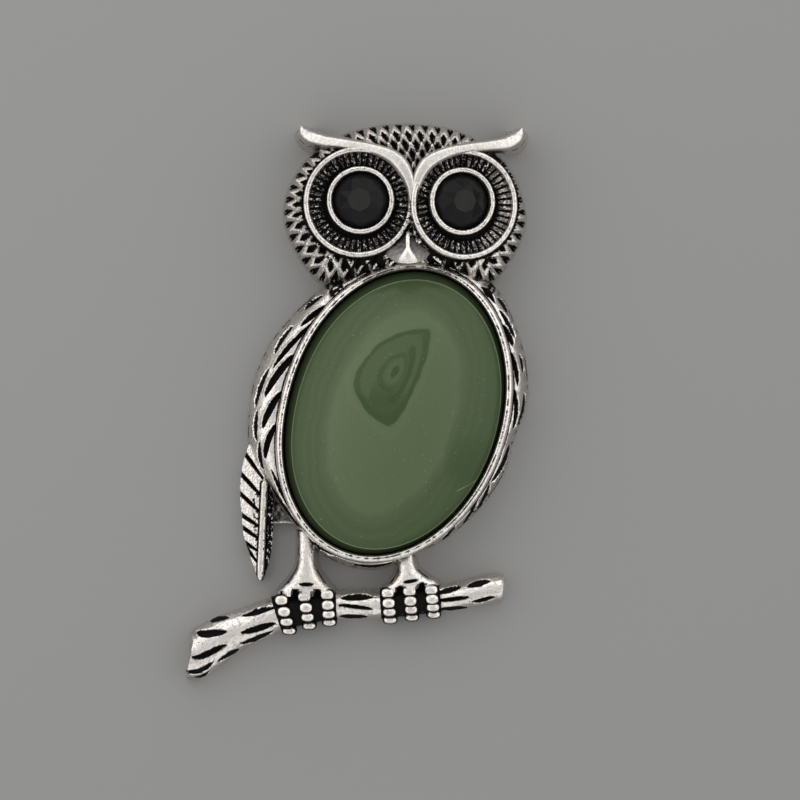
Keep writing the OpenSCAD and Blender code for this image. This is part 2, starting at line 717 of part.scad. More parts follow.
module owl_casting() {
    color(metal)
        placed()
            difference() {
                union() {
                    difference() {
                        union() {
                            difference() {
                                head_dome();
                                feather_pits();
                                for (eye = EYES)
                                    in_eye(eye)
                                        dish_cut();
                            }
                            difference() {
                                wing_band();
                                wing_cuts();
                            }
                            brow(BROW_LEFT);
                            brow(BROW_RIGHT);
                            beak();
                        }
                        head_hollow();
                    }
                    bezel();
                    for (eye = EYES)
                        eye_metal(eye);
                    difference() {
                        tail_vanes();
                        tail_cuts();
                    }
                    tail_quill();
                    tail_web();
                    difference() {
                        branch();
                        bark_cuts();
                    }
                    for (leg = LEGS)
                        foot(leg);
                }
                stone_pocket();
                seat_hollow_cut();
                pin_room();
                for (eye = EYES)
                    eye_pocket(eye);
                for (leg = LEGS)
                    foot_slot(leg);
            }
}

// Oval stone: upright side, bevel and a low dome cut from a sphere, squashed into an oval
DOME_STEPS = 12;
DOME_TOP = 1.5;
module green_cabochon() {
    a = stone_l / 2;
    oval = stone_w / stone_l;
    dome_a = a - stone_bevel_w;
    dome_foot = stone_side + stone_bevel;
    dome_h = stone_h - dome_foot;
    dome_r = (dome_a * dome_a + dome_h * dome_h) / (2 * dome_h);
    dome_turn = asin(dome_a / dome_r);
    color(green)
        placed()
            translate([0, 0, seat_z + stone_gap])
                stacked(concat(
                    [oval_ring(a, a * oval, 0), oval_ring(a, a * oval, stone_side)],
                    [for (i = [0:DOME_STEPS])
                        let(
                            turn = lerp(dome_turn, DOME_TOP, i / DOME_STEPS),
                            r = dome_r * sin(turn),
                            fall = dome_r * (cos(DOME_TOP) - cos(turn))
                        )
                        oval_ring(r, r * oval, stone_h - fall)]
                ));
}

// Eye stone: eight-sided table, eight main facets, sixteen small ones at the girdle, flat back
FACETS = 8;
module eye_stone(eye) {
    girdle = eye_d / 2;
    main_r = girdle * 0.80;
    crown = [0.34 * eye_h, 0.66 * eye_h, eye_h];
    function ring(count, r, z, shift) =
        [for (i = [0:count - 1]) concat(on_circle(r, 360 * (i + shift) / count), z)];
    points = concat(
        ring(2 * FACETS, girdle * 0.9, 0, 0),
        ring(2 * FACETS, girdle, crown[0] * 0.6, 0),
        ring(2 * FACETS, girdle, crown[0], 0),
        ring(FACETS, main_r, crown[1], 0.5),
        ring(FACETS, table_d / 2, crown[2], 0)
    );
    g = 2 * FACETS;
    main = 3 * g;
    table = main + FACETS;
    faces = concat(
        [[for (i = [0:g - 1]) i], [for (i = [FACETS - 1:-1:0]) table + i]],
        [for (k = [0:1], i = [0:g - 1]) let(j = (i + 1) % g, low = k * g, top = low + g)
            each [[low + i, top + i, top + j], [low + i, top + j, low + j]]],
        [for (i = [0:FACETS - 1])
            let(
                next = (i + 1) % FACETS,
                prev = (i + FACETS - 1) % FACETS,
                a = 2 * g + 2 * i,
                b = a + 1,
                c = 2 * g + (2 * i + 2) % g
            )
            each [
                [a, main + i, b], [b, main + i, c],
                [a, table + i, main + i], [a, main + prev, table + i],
                [main + i, table + i, table + next]
            ]]
    );
    color(black)
        placed()
            in_eye(eye)
                at_stone(eye)
                    translate([0, 0, stone_seat + stone_gap])
                        polyhedron(points = points, faces = faces, convexity = 2);
}

module eye_stone_left()
    eye_stone(EYES[0]);

module eye_stone_right()
    eye_stone(EYES[1]);

// Pin: a bar against the hollow's ceiling, a barrel, a stem and a catch, in one piece
PIN_MIDDLE = on_head(0, -0.12);
module pin_room() {
    low = -bar_t;
    translate(concat(PIN_MIDDLE, 0))
        translate([-bar_l / 2 - pin_gap, -bar_w / 2 - pin_gap, low])
            cube([bar_l + 2 * pin_gap, bar_w + 2 * pin_gap, hollow_h - pin_gap / 2 - low]);
}

module pin_back() {
    barrel_r = barrel_d / 2;
    bar_z = hollow_h - pin_gap - bar_t;
    stem_from = barrel_r - bar_l / 2;
    catch_from = bar_l / 2 - catch_l * 1.75;
    tip_l = stem_t * 1.2;
    side_t = stem_t * 0.5;
    color(metal)
        placed()
            translate(concat(PIN_MIDDLE, 0)) {
                translate([-bar_l / 2, -bar_w / 2, bar_z])
                    cube([bar_l, bar_w, bar_t]);
                translate([stem_from, -bar_w / 2, bar_z - barrel_r * 0.8])
                    rotate([-90, 0, 0])
                        cylinder(h = bar_w, r = barrel_r, $fn = 48);
                translate([stem_from, 0, stem_z])
                    rotate([0, 90, 0])
                        cylinder(h = catch_from + catch_l - stem_from, r = stem_t / 2, $fn = 32);
                translate([catch_from + catch_l, 0, stem_z])
                    rotate([0, 90, 0])
                        cylinder(h = tip_l, r1 = stem_t / 2, r2 = stem_t * 0.12, $fn = 32);
                translate([catch_from, stem_t / 2, stem_z - stem_t * 0.75])
                    cube([catch_l, side_t, bar_z - stem_z + stem_t]);
                translate([catch_from, -stem_t / 2, stem_z - stem_t * 0.75])
                    cube([catch_l, stem_t + side_t, stem_t * 0.45]);
            }
}

owl_casting();
green_cabochon();
eye_stone_left();
eye_stone_right();
pin_back();
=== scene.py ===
"""Owl brooch with an oval stone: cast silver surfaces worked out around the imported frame."""

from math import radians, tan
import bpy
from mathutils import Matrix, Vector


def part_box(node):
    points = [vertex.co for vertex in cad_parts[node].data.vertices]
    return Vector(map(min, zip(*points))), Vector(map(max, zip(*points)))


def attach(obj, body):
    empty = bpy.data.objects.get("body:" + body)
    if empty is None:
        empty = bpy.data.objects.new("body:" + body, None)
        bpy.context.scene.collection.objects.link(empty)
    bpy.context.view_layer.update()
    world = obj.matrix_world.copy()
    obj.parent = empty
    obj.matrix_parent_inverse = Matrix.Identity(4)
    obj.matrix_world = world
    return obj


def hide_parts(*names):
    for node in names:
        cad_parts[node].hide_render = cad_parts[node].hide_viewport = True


bl_info = {
    "name": "Owl brooch",
    "version": (1, 0, 0),
    "blender": (4, 5, 0),
    "location": "View3D > Sidebar > Owl brooch",
    # The stone's bands named here are painted reflections of the camera and the light tent
    "description": "Makes a cast owl brooch with a banded oval stone, piece by piece",
    "category": "Add Mesh",
}

from types import SimpleNamespace

import bpy
import numpy as np
from bpy.props import FloatProperty, FloatVectorProperty, IntProperty, PointerProperty

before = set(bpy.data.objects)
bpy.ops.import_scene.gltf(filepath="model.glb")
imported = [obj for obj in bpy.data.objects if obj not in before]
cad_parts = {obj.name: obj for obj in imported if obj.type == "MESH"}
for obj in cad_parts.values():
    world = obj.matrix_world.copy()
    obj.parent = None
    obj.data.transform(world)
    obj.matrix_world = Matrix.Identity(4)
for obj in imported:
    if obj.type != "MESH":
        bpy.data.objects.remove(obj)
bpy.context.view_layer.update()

MM = 0.001
STONE_LOW, STONE_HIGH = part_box("green_cabochon")
# Everything is worked out in millimetres about the oval stone's centre, on the plane it rests on
MIDDLE = np.array([(STONE_LOW.x + STONE_HIGH.x) / 2, (STONE_LOW.y + STONE_HIGH.y) / 2, 0.0])


# Sizes that a user would change

def length(label, what, default):
    """A length property in metres."""
    return FloatProperty(name=label, description=what, default=default, min=0.0, max=0.1,
                         unit="LENGTH", subtype="DISTANCE", precision=5)


def colour(label, what, default):
    """A linear colour property."""
    return FloatVectorProperty(name=label, description=what, default=default, min=0.0, max=1.0,
                               size=3, subtype="COLOR")


class OwlSetting(bpy.types.PropertyGroup):
    """The oval stone, its bezel and the wing band round it"""

    stone_l: length("Stone length", "Long axis of the oval stone", 0.030)
    stone_w: length("Stone width", "Short axis of the oval stone", 0.022)
    stone_h: length("Stone height", "Height of the oval stone", 0.0054)
    stone_side: length("Stone side", "Upright side at the stone's foot", 0.001)
    stone_bevel: length("Bevel height", "Height of the bevel over the stone's side", 0.0007)
    stone_bevel_w: length("Bevel width", "Width of the bevel over the stone's side", 0.0007)
    stone_lean: FloatProperty(name="Stone lean", description="Lean of the long axis to the right",
                              default=radians(19), subtype="ANGLE")
    stone_gap: length("Stone gap", "Gap between a stone and its seat", 0.00008)
    seat_z: length("Seat height", "Height of the stone's seat over the back", 0.0024)
    seat_hollow: length("Seat hollow", "Depth of the hollow behind the seat", 0.0012)
    rim_w: length("Rim width", "Wall of the bezel", 0.0007)
    rim_h: length("Rim height", "Height of the bezel over the seat", 0.0025)
    wing_w: length("Wing width", "Widest reach of the wing outside the bezel", 0.0031)
    wing_h: length("Wing height", "Height of the wing beside the bezel", 0.0037)
    edge_h: length("Edge height", "Height of the casting's outer edge", 0.0014)
    cut_d: length("Cut depth", "Depth of the cuts between feathers", 0.0005)
    wall: length("Wall", "Wall of the hollow casting", 0.0014)
    draft: FloatProperty(name="Draft", description="Lean of the casting's sides",
                         default=radians(10), subtype="ANGLE")


class OwlHead(bpy.types.PropertyGroup):
    """The head with its net of feather tips, brow horns and beak"""

    head_w: length("Head width", "Width of the head", 0.0255)
    head_l: length("Head length", "Length of the head's outline", 0.0168)
    head_h: length("Head height", "Height of the head's dome", 0.007)
    head_x: length("Head shift", "Shift of the head to the right of the stone's middle", 0.0012)
    head_rise: length("Head rise", "Rise of the head's middle over the bezel's top", 0.0061)
    hollow_h: length("Hollow height", "Height of the hollow behind the head", 0.0034)
    net_pitch: length("Net pitch", "Distance between feather tips in a row", 0.0014)
    net_shift: length("Net shift", "Shift of the feather tips along the outline", 0.00056)
    net_row: length("Net row", "Distance between the rows of feather tips", 0.001)
    net_start: length("Net start", "Distance of the first row from the outline", 0.0005)
    pit_w: length("Pit width", "Width of the pit under a feather tip", 0.00068)
    pit_l: length("Pit length", "Length of the pit under a feather tip", 0.00125)
    pit_d: length("Pit depth", "Depth of the pit under a feather tip", 0.0004)
    brow_w: length("Brow width", "Greatest half width of a brow horn", 0.00076)
    brow_h: length("Brow height", "Height of the brow horns over the back", 0.0076)
    beak_w: length("Beak width", "Width of the beak", 0.0046)
    beak_l: length("Beak length", "Length of the beak", 0.0036)
    beak_h: length("Beak height", "Height of the beak over the back", 0.0075)


class OwlEyes(bpy.types.PropertyGroup):
    """The ribbed eye discs and the rings that hold the eye stones"""

    eye_d: length("Eye stone", "Width of an eye stone", 0.0057)
    disc_d: length("Eye disc", "Width of an eye disc to the middle of its wire", 0.0108)
    wire_t: length("Wire", "Thickness of the rings' wire", 0.00056)
    dish_d: length("Dish depth", "Depth of the disc below its wire", 0.00085)
    rib_h: length("Rib height", "Height of the disc's ribs", 0.0003)
    ribs: IntProperty(name="Ribs", description="Ribs round each eye disc", default=46, min=12, max=90)


class OwlTailAndFeet(bpy.types.PropertyGroup):
    """The tail feather, the legs and toes, and the branch"""

    tail_l: length("Tail length", "Length of the tail feather", 0.0142)
    tail_w: length("Tail width", "Width of the tail feather's left vane", 0.0025)
    quill_w: length("Quill width", "Width of the tail's quill", 0.00064)
    quill_h: length("Quill height", "Height of the tail's quill over the back", 0.0026)
    barb_cut: length("Barb cut", "Width of the cuts between the tail's barbs", 0.00032)
    leg_w: length("Leg width", "Width of a leg", 0.0018)
    leg_h: length("Leg height", "Height of a leg over the back", 0.0034)
    toe_w: length("Toe width", "Width of a toe", 0.00144)
    toe_step: length("Toe step", "Distance between a foot's toes", 0.00225)
    branch_l: length("Branch length", "Length of the branch", 0.0326)
    branch_t: length("Branch thickness", "Thickness of the branch", 0.0031)
    branch_h: length("Branch height", "Height of the branch over the back", 0.003)
    branch_drop: length("Branch drop", "Drop of the branch below the bezel", 0.0046)


class OwlFinish(bpy.types.PropertyGroup):
    """Colours of the finishes and of the stage"""

    silver: colour("Silver", "Polished silver plate on raised places", (0.80, 0.76, 0.72))
    # The patina colour also paints shade where a piece gives recess values to places in shade
    patina: colour("Patina", "Black patina in recesses", (0.007, 0.0065, 0.006))
    # The light stone colour is the stone's green with a painted reflection over it; the dark one is the
    # stone's own green
    stone_light: colour("Light stone", "Broad pale bands of the oval stone", (0.097, 0.127, 0.067))
    stone_dark: colour("Dark stone", "Dark bands of the oval stone", (0.034, 0.059, 0.020))
    # The girdle colour is a painted highlight on the line round the dome, and also the colour of the
    # stone's own pale specks and hairline scratch
    pale_marks_and_girdle_highlight: colour("Girdle", "Pale line round the stone's dome", (0.26, 0.31, 0.19))
    floor: colour("Floor", "The grey floor", (0.247, 0.247, 0.242))


# Tables of the object's forms

# Wing reach outside the bezel
#   angle, share of wing_w
WING = np.array([
    [0, 0.55], [20, 0.62], [33, 0.56], [48, 0.61], [90, 0.50], [120, 0.66], [136, 0.82],
    [150, 1.02], [165, 1.12], [180, 1.10], [193, 1.03], [201, 0.85], [208, 0.64], [215, 0.48],
    [228, 0.28], [247, 0.32], [269, 0.27], [275, 0.13], [291, 0.24], [311, 0.36], [335, 0.45],
    [345, 0.38], [355, 0.47],
])
# Height of the wing from its edge in to the bezel
#   share of the way in, share of the rise
WING_RISE = np.array([[0.0, 0.0], [0.18, 0.40], [0.38, 0.72], [0.6, 0.92], [1.0, 1.0]])
# Cuts between the wing feathers
#   start angle, start share, end angle, end share, half width as a share of wing_w
CUTS = np.array([
    [121, 0.64, 131, 0.80, 0.068], [122, 0.08, 137, 0.43, 0.100], [139, 0.71, 154, 0.71, 0.068],
    [132, 0.06, 160, 0.57, 0.090], [149, 0.05, 173, 0.56, 0.130], [160, 0.68, 178, 0.82, 0.068],
    [169, 0.06, 187, 0.51, 0.130], [179, 0.75, 192, 0.73, 0.068], [185, 0.04, 200, 0.52, 0.116],
    [192, 0.62, 204, 0.79, 0.068], [205, 0.40, 223, 0.10, 0.068], [211, 0.84, 232, 0.42, 0.068],
    [234, 0.60, 248, 0.35, 0.048], [255, 0.61, 271, 0.60, 0.068], [47, 0.39, 55, 0.33, 0.084],
    [41, 0.83, 48, 0.70, 0.071], [31, 0.68, 44, 0.40, 0.084], [29, 0.41, 39, 0.12, 0.110],
    [12, 0.37, 27, 0.19, 0.084], [17, 0.75, 25, 0.69, 0.052], [-8, 0.60, 11, 0.16, 0.084],
    [-6, 0.92, 9, 0.80, 0.052], [-36, 0.40, -15, 0.77, 0.084], [-49, 0.90, -36, 0.33, 0.068],
    [-58, 0.90, -45, 0.10, 0.068], [-69, 0.90, -61, 0.25, 0.065],
])
# The bezel's profile, from inside at its foot over its two beads and back under
#   way out as a share of rim_w, height as a share of the bezel's
BEZEL = np.array([
    [0.02, 0.60], [0.03, 0.86], [0.10, 0.945], [0.18, 0.985], [0.27, 1.0], [0.36, 0.99],
    [0.43, 0.975], [0.52, 0.985], [0.64, 0.995], [0.78, 0.985], [0.92, 0.965], [1.06, 0.935],
    [1.15, 0.88], [1.20, 0.76], [1.22, 0.5], [1.0, 0.45], [0.6, 0.45],
])
# Dark folds of the neck on both sides of the head
#   start angle, end angle
NECK = [[50, 54], [111, 119]]
# Outline of the head, anticlockwise from its right side
#   x as a share of half head_w, y as a share of half head_l
HEAD = np.array([
    [1.00, -0.15], [0.97, 0.10], [0.90, 0.37], [0.80, 0.59], [0.60, 0.82], [0.41, 0.95],
    [0.16, 1.02], [-0.16, 1.02], [-0.46, 0.92], [-0.67, 0.76], [-0.83, 0.55], [-0.92, 0.33],
    [-0.98, 0.12], [-1.00, -0.13], [-0.96, -0.38], [-0.88, -0.63], [-0.77, -0.86], [-0.67, -0.96],
    [-0.45, -0.95], [-0.24, -0.88], [0.00, -0.81], [0.28, -0.81], [0.51, -0.91], [0.73, -0.94],
    [0.86, -0.71], [0.96, -0.43],
])
# Lean of the net's rows under the eyes, towards the head's sides
#   direction from the head's middle, lean
NET_LEAN = np.array([
    [0, 0.0], [200, 0.0], [222, 0.35], [245, 0.85], [264, 1.0], [276, -1.0], [295, -0.85],
    [318, -0.35], [340, 0.0], [360, 0.0],
])
# Plain hollows between the horns and the eye discs
#   x and y as shares of the head's half sizes, radius in mm
HEAD_HOLLOWS = [[-0.755, 0.675, 0.95], [0.750, 0.600, 0.90]]
# Each eye: place from the head's middle, disc height, lean, and the inner ring's shift
#   x and y as shares of the head's half sizes, height as a share of head_h, lean to the left in
#   degrees, shift x and y as shares of eye_d
EYES = {
    "left": (-0.372, 0.010, 0.900, 5, 0.035, 0.035),
    "right": (0.478, -0.015, 0.865, -15, -0.035, 0.053),
}
# Brow horns from the bridge out to the tip
#   x and y as shares of the head's half sizes, half width as a share of brow_w,
#   height as a share of brow_h
BROWS = {
    "left": np.array([
        [0.065, -0.25, 0.40, 0.93], [0.055, 0.06, 0.45, 0.97], [0.040, 0.25, 0.75, 1.00],
        [-0.015, 0.43, 1.00, 1.00], [-0.088, 0.55, 0.97, 0.97], [-0.193, 0.63, 0.80, 0.93],
        [-0.323, 0.685, 0.72, 0.87], [-0.485, 0.73, 0.70, 0.80], [-0.648, 0.77, 0.78, 0.71],
        [-0.768, 0.83, 0.82, 0.62], [-0.823, 0.90, 0.66, 0.54], [-0.842, 0.965, 0.42, 0.49],
    ]),
    "right": np.array([
        [0.072, -0.25, 0.40, 0.93], [0.076, 0.06, 0.45, 0.97], [0.099, 0.25, 0.75, 1.00],
        [0.156, 0.43, 0.95, 1.00], [0.237, 0.54, 0.93, 0.97], [0.367, 0.625, 0.77, 0.92],
        [0.530, 0.68, 0.66, 0.84], [0.692, 0.71, 0.73, 0.75], [0.813, 0.74, 0.85, 0.67],
        [0.893, 0.80, 0.84, 0.60], [0.934, 0.875, 0.62, 0.53], [0.950, 0.940, 0.38, 0.49],
    ]),
}
# Half outline of the beak, from its top down
#   half width as a share of beak_w, way down as a share of beak_l
BEAK = np.array([
    [0.02, 0.02], [0.10, -0.12], [0.23, -0.32], [0.38, -0.50], [0.49, -0.62], [0.46, -0.72],
    [0.34, -0.86], [0.20, -0.95], [0.03, -0.98],
])
# Height of the beak's ridge from its top down
#   way down as a share of beak_l, share of beak_h
BEAK_RIDGE = np.array([[0.0, 0.90], [0.2, 0.935], [0.45, 0.975], [0.66, 1.0], [0.82, 0.985], [1.0, 0.93]])
# The tail feather from its root to its tip
#   way along, left width and right width as shares of tail_w, quill width share
TAIL = np.array([
    [0.00, 0.72, 0.10, 0.90], [0.11, 0.90, 0.15, 0.95], [0.26, 1.02, 0.20, 0.95],
    [0.40, 1.00, 0.36, 1.00], [0.52, 0.90, 0.42, 1.00], [0.63, 0.83, 0.42, 1.00],
    [0.74, 0.67, 0.40, 1.05], [0.84, 0.44, 0.34, 1.05], [0.93, 0.24, 0.22, 1.00],
    [1.00, 0.10, 0.10, 0.90],
])
# Direction of the feather's root from the stone's middle, and its lean, in degrees
TAIL_ANGLE = 194
TAIL_LEAN = 2.7
# Cuts between the tail's barbs: way along at the quill, and slope in degrees
BARBS = np.array([[0.27, 51], [0.40, 44], [0.52, 40], [0.62, 30], [0.71, 32], [0.80, 30], [0.90, 50]])
# Legs: places across the outline, as shares of branch_l
#   ankle, foot
LEGS = {"left": (-0.275, -0.276), "right": (0.034, 0.055)}
# A leg from its ankle down to the toes
#   way down, width as a share of leg_w, height as a share of leg_h
LEG = np.array([
    [0.0, 0.75, 0.85], [0.40, 0.75, 1.0], [0.56, 0.95, 1.02], [0.68, 1.5, 1.04], [0.80, 2.2, 1.06],
    [0.90, 2.85, 1.05], [1.0, 3.00, 1.00],
])
# Toes of a foot
TOES = 3
# Beads of a toe
#   place across the branch, height as a share of branch_h, half length as a share of branch_t
BEADS = np.array([[0.76, 1.10, 0.17], [0.10, 1.15, 0.165], [-0.50, 1.05, 0.145], [-1.06, 0.75, 0.13]])
# The branch, from its thick cut end to its thin end
#   x from the thick end and y as shares of branch_l, half thickness as a share of branch_t
BRANCH = np.array([
    [0.000, -0.160, 0.74], [0.035, -0.150, 0.80], [0.115, -0.097, 0.71], [0.195, -0.064, 0.65],
    [0.280, -0.029, 0.60], [0.385, -0.008, 0.54], [0.480, 0.000, 0.51], [0.600, 0.002, 0.51],
    [0.700, 0.011, 0.49], [0.795, 0.020, 0.46], [0.890, 0.034, 0.50], [0.955, 0.051, 0.51],
    [0.990, 0.055, 0.47], [1.000, 0.055, 0.36],
])
# Place of the branch's thick end across the outline, as a share of branch_l
BRANCH_LEFT = -0.645
# Cuts in the bark
#   start along, end along, across at the start, across at the end, half width as a share of branch_t
BARK = np.array([
    [0.035, 0.122, 0.84, 0.20, 0.142], [0.009, 0.104, -0.05, -0.35, 0.105],
    [0.002, 0.058, -0.72, -0.61, 0.083], [0.063, 0.133, -0.72, -0.86, 0.075],
    [0.010, 0.044, -1.00, -0.85, 0.050], [0.096, 0.142, 0.95, 0.79, 0.075],
    [0.178, 0.277, 0.66, 0.44, 0.092], [0.158, 0.264, -0.15, -0.41, 0.117],
    [0.140, 0.248, -0.65, -0.76, 0.083],
    [0.480, 0.580, 0.50, 0.55, 0.106], [0.470, 0.580, 0.05, -0.25, 0.071],
    [0.470, 0.565, -0.74, -0.78, 0.080],
    [0.780, 0.865, 0.48, 0.66, 0.088], [0.785, 0.885, -0.08, -0.12, 0.080],
    [0.885, 0.960, 0.62, 0.58, 0.100], [0.890, 0.965, -0.50, -0.55, 0.080],
    [0.785, 0.875, -0.74, -0.83, 0.075],
])


# Points round each piece, and rows of the finest ones
HEAD_AROUND, HEAD_ROWS = 860, 88
WING_AROUND, WING_ROWS = 1040, 60
DISC_AROUND = 552
RING_AROUND = 240
BEZEL_AROUND = 720
STONE_AROUND = 288
BRANCH_ROWS = 440

# Relief in mm: ridges between the net's pits, and the tooth in an outermost pit
NET_RIDGE = 0.26
TOOTH_HALF_W, TOOTH_HALF_L = 0.13, 0.36
# Lips beside the cuts between feathers and in the bark, and the grain of bark and vanes
LIP_H = 0.15
BARK_LIP_H = 0.04
BARK_GRAIN = 0.025
VANE_GRAIN = 0.05
# Folds of the neck, the dip where the wing meets the bezel, and the worn groove along a wire
NECK_FOLD_H = 0.12
BEZEL_DIP = 0.15
WIRE_GROOVE = 0.03
# Pillows of the barbs, lines along a leg, notches between toes, and what the beads' tops gain
BARB_H = 0.20
LEG_LINE_D = 0.12
TOE_NOTCH_D = 0.9
BEAD_RISE = 0.15
# Slope of the beak's faces
BEAK_FALL = 0.60
# How far pieces reach into what carries them, and how far their feet stay off the back plane
SUNK = 0.3
FOOT_Z = 0.02
# Recess that paints shade on the casting's sides and on its back
SIDE_SHADE = 0.42
BACK_SHADE = 0.25
# The dome's middle from the foot's middle on the oval stone
DOME_OFF = (0.22, -0.20)


# Sizes in millimetres

def in_mm(*groups):
    """The values of the groups by name, lengths in millimetres and angles in degrees."""
    values = SimpleNamespace()
    for group in groups:
        for prop in group.bl_rna.properties:
            if prop.identifier in ("rna_type", "name"):
                continue
            value = getattr(group, prop.identifier)
            if getattr(prop, "unit", "") == "LENGTH":
                value = value / MM
            elif getattr(prop, "unit", "") == "ROTATION":
                value = np.degrees(value)
            setattr(values, prop.identifier, value)
    return values


def sizes():
    """Every length of the brooch in millimetres, with those that follow from them."""
    scene = bpy.context.scene
    s = in_mm(scene.owl_setting, scene.owl_head, scene.owl_eyes, scene.owl_tail_and_feet)
    s.stone_turn = 90 - s.stone_lean
    s.pocket_a = s.stone_l / 2 + s.stone_gap
    s.pocket_b = s.stone_w / 2 + s.stone_gap
    s.bezel_a = s.pocket_a + s.rim_w
    s.bezel_b = s.pocket_b + s.rim_w
    s.rim_z = s.seat_z + s.rim_h
    turn = radians(s.stone_turn)
    s.bezel_top = float(np.hypot(s.bezel_a * np.sin(turn), s.bezel_b * np.cos(turn)))
    s.head = np.array([s.head_x, s.bezel_top + s.head_rise])
    s.branch_y = -s.bezel_top - s.branch_drop
    s.slope = tan(radians(s.draft))
    s.ring_r = s.eye_d / 2 + s.stone_gap + s.wire_t / 2
    s.disc_r = s.disc_d / 2
    s.dish_edge = -s.dish_d * 0.35
    s.dish_base = -s.dish_d * 1.7
    return s


# Curves, noise and relief

def step(low, high, x):
    """Smooth step from 0 at low to 1 at high: 3t^2 - 2t^3 of the share t of the way."""
    t = np.clip((x - low) / (high - low), 0, 1)
    return t * t * (3 - 2 * t)


def bump(x, width):
    """A rounded bump: 1 at 0 and falling as exp(-(x / width)^2)."""
    return np.exp(-(x / width) ** 2)


def smooth(x, table, period=None, column=1):
    """Value at x from a table's first column to another, by cubic Hermite spans whose slopes
    are the central differences of the table. A period makes the table repeat."""
    knots, values = table[:, 0].astype(float), table[:, column].astype(float)
    if period:
        x = np.mod(x, period)
        knots = np.r_[knots[-2:] - period, knots, knots[:2] + period]
        values = np.r_[values[-2:], values, values[:2]]
    slopes = np.gradient(values, knots)
    i = np.clip(np.searchsorted(knots, x, "right") - 1, 0, len(knots) - 2)
    span = knots[i + 1] - knots[i]
    t = np.clip((x - knots[i]) / span, 0, 1)
    a, b = values[i], values[i + 1]
    ma, mb = slopes[i] * span, slopes[i + 1] * span
    return (a * (1 + 2 * t) * (1 - t) ** 2 + ma * t * (1 - t) ** 2
            + b * t * t * (3 - 2 * t) + mb * t * t * (t - 1))


def curve(rows, count, closed=False):
    """Smooth line through a table's rows at even distances along it.

    Between two rows it is a Catmull-Rom cubic, and the distance is taken in the first two columns."""
    rows = np.asarray(rows, float)
    if closed:
        padded = np.vstack([rows[-1:], rows, rows[:2]])
        spans = len(rows)
    else:
        padded = np.vstack([2 * rows[:1] - rows[1:2], rows, 2 * rows[-1:] - rows[-2:-1]])
        spans = len(rows) - 1
    t = np.linspace(0, spans, spans * 24 + 1)
    i = np.minimum(t.astype(int), spans - 1)
    f = (t - i)[:, None]
    p, q, r, s = (padded[i + k] for k in range(4))
    fine = 0.5 * (2 * q + (r - p) * f + (2 * p - 5 * q + 4 * r - s) * f ** 2
                  + (3 * q - p - 3 * r + s) * f ** 3)
    way = np.r_[0, np.cumsum(np.linalg.norm(np.diff(fine[:, :2], axis=0), axis=1))]
    even = np.linspace(0, way[-1], count, endpoint=not closed)
    return np.column_stack([np.interp(even, way, column) for column in fine.T])


def noise(x, y, cell, seed):
    """Smooth noise from -1 to 1: random values on square cells, blended by smooth steps."""
    table = np.random.default_rng(seed).uniform(-1, 1, (128, 128))
    u, v = np.broadcast_arrays(x / cell, y / cell)
    i, j = np.floor(u).astype(int), np.floor(v).astype(int)
    f, g = step(0, 1, u - i), step(0, 1, v - j)
    low = table[i % 128, j % 128] * (1 - f) + table[(i + 1) % 128, j % 128] * f
    top = table[i % 128, (j + 1) % 128] * (1 - f) + table[(i + 1) % 128, (j + 1) % 128] * f
    return low * (1 - g) + top * g


def noise_on(plan, cell, seed):
    """Noise over plan points."""
    return noise(plan[..., 0], plan[..., 1], cell, seed)


def turned_by(angle, start):
    """Difference of two directions in degrees, from -180 to 180."""
    return (angle - start + 180) % 360 - 180


def even_turn(count, full=2 * np.pi):
    """Directions at even steps round a full turn."""
    return np.linspace(0, full, count, endpoint=False)


def arch(count, power):
    """Directions from right to left over a half turn, and each one's cosine raised to a power with
    its sign kept."""
    turn = np.radians(np.linspace(0, 180, count))
    return turn, np.sign(np.cos(turn)) * np.abs(np.cos(turn)) ** power


def left_of(path):
    """Unit vectors to the left of a path's way, from the differences of its neighbours."""
    way = np.gradient(path[:, :2], axis=0)
    way = way / np.linalg.norm(way, axis=1, keepdims=True)
    return np.column_stack([-way[:, 1], way[:, 0]])


def lens(along, across, half, outer=1.25, inner=0.75, lip=0.07):
    """Relief of a D-shaped cut, with along from 0 to 1 and across in mm.

    Its half width grows and falls as (4t(1 - t))^0.6 along it. The outer side bulges more than the
    inner one, and fine noise makes its edge uneven. Returns depth and darkness from 0 to 1, and the
    height of the rounded lip on its outer side."""
    t = np.clip(along, 0, 1)
    swell = (4 * t * (1 - t)) ** 0.6
    uneven = 1 + 0.10 * noise(t * 40 + half * 900, across, 1.0, 3)
    reach = half * swell * np.where(across > 0, outer, inner) * uneven
    inside = np.abs(across) / np.maximum(reach, 1e-6)
    within = (along > 0) & (along < 1)
    depth = np.where(within, (1 - step(0.5, 1.05, inside)) * step(0.02, 0.25, swell), 0)
    soft = np.where(across > 0, 0.0, 0.16)
    dark = np.where(within, (1 - step(0.92 - soft, 1.08 + soft, inside)) * step(0.02, 0.12, swell), 0)
    rim = np.where(within, bump(across - half * outer * swell - lip * 1.2, lip) * step(0.05, 0.5, swell), 0)
    rim = rim * (0.70 + 0.45 * noise(t * 60 + half * 500, 0.0, 1.0, 7))
    return depth, dark, rim


def cut_in(height, recess, cut, deep, lip):
    """Relief and recess with a cut of some depth and its bright lip added."""
    depth, dark, rim = cut
    return height + (lip * rim - deep * depth), np.maximum(recess * (1 - rim), dark)


# Grids of points. Rows run from the top's middle outwards and then under, or along a path, and
# the columns close round each row.

def normals(grid):
    """Unit normals from the cross product of the differences along the rows and round them."""
    out = np.cross(np.gradient(grid, axis=0), np.roll(grid, -1, 1) - np.roll(grid, 1, 1))
    return out / np.maximum(np.linalg.norm(out, axis=2, keepdims=True), 1e-9)


def raised(grid, height):
    """The grid with each point moved along its normal by a height in mm."""
    return grid + normals(grid) * height[..., None]


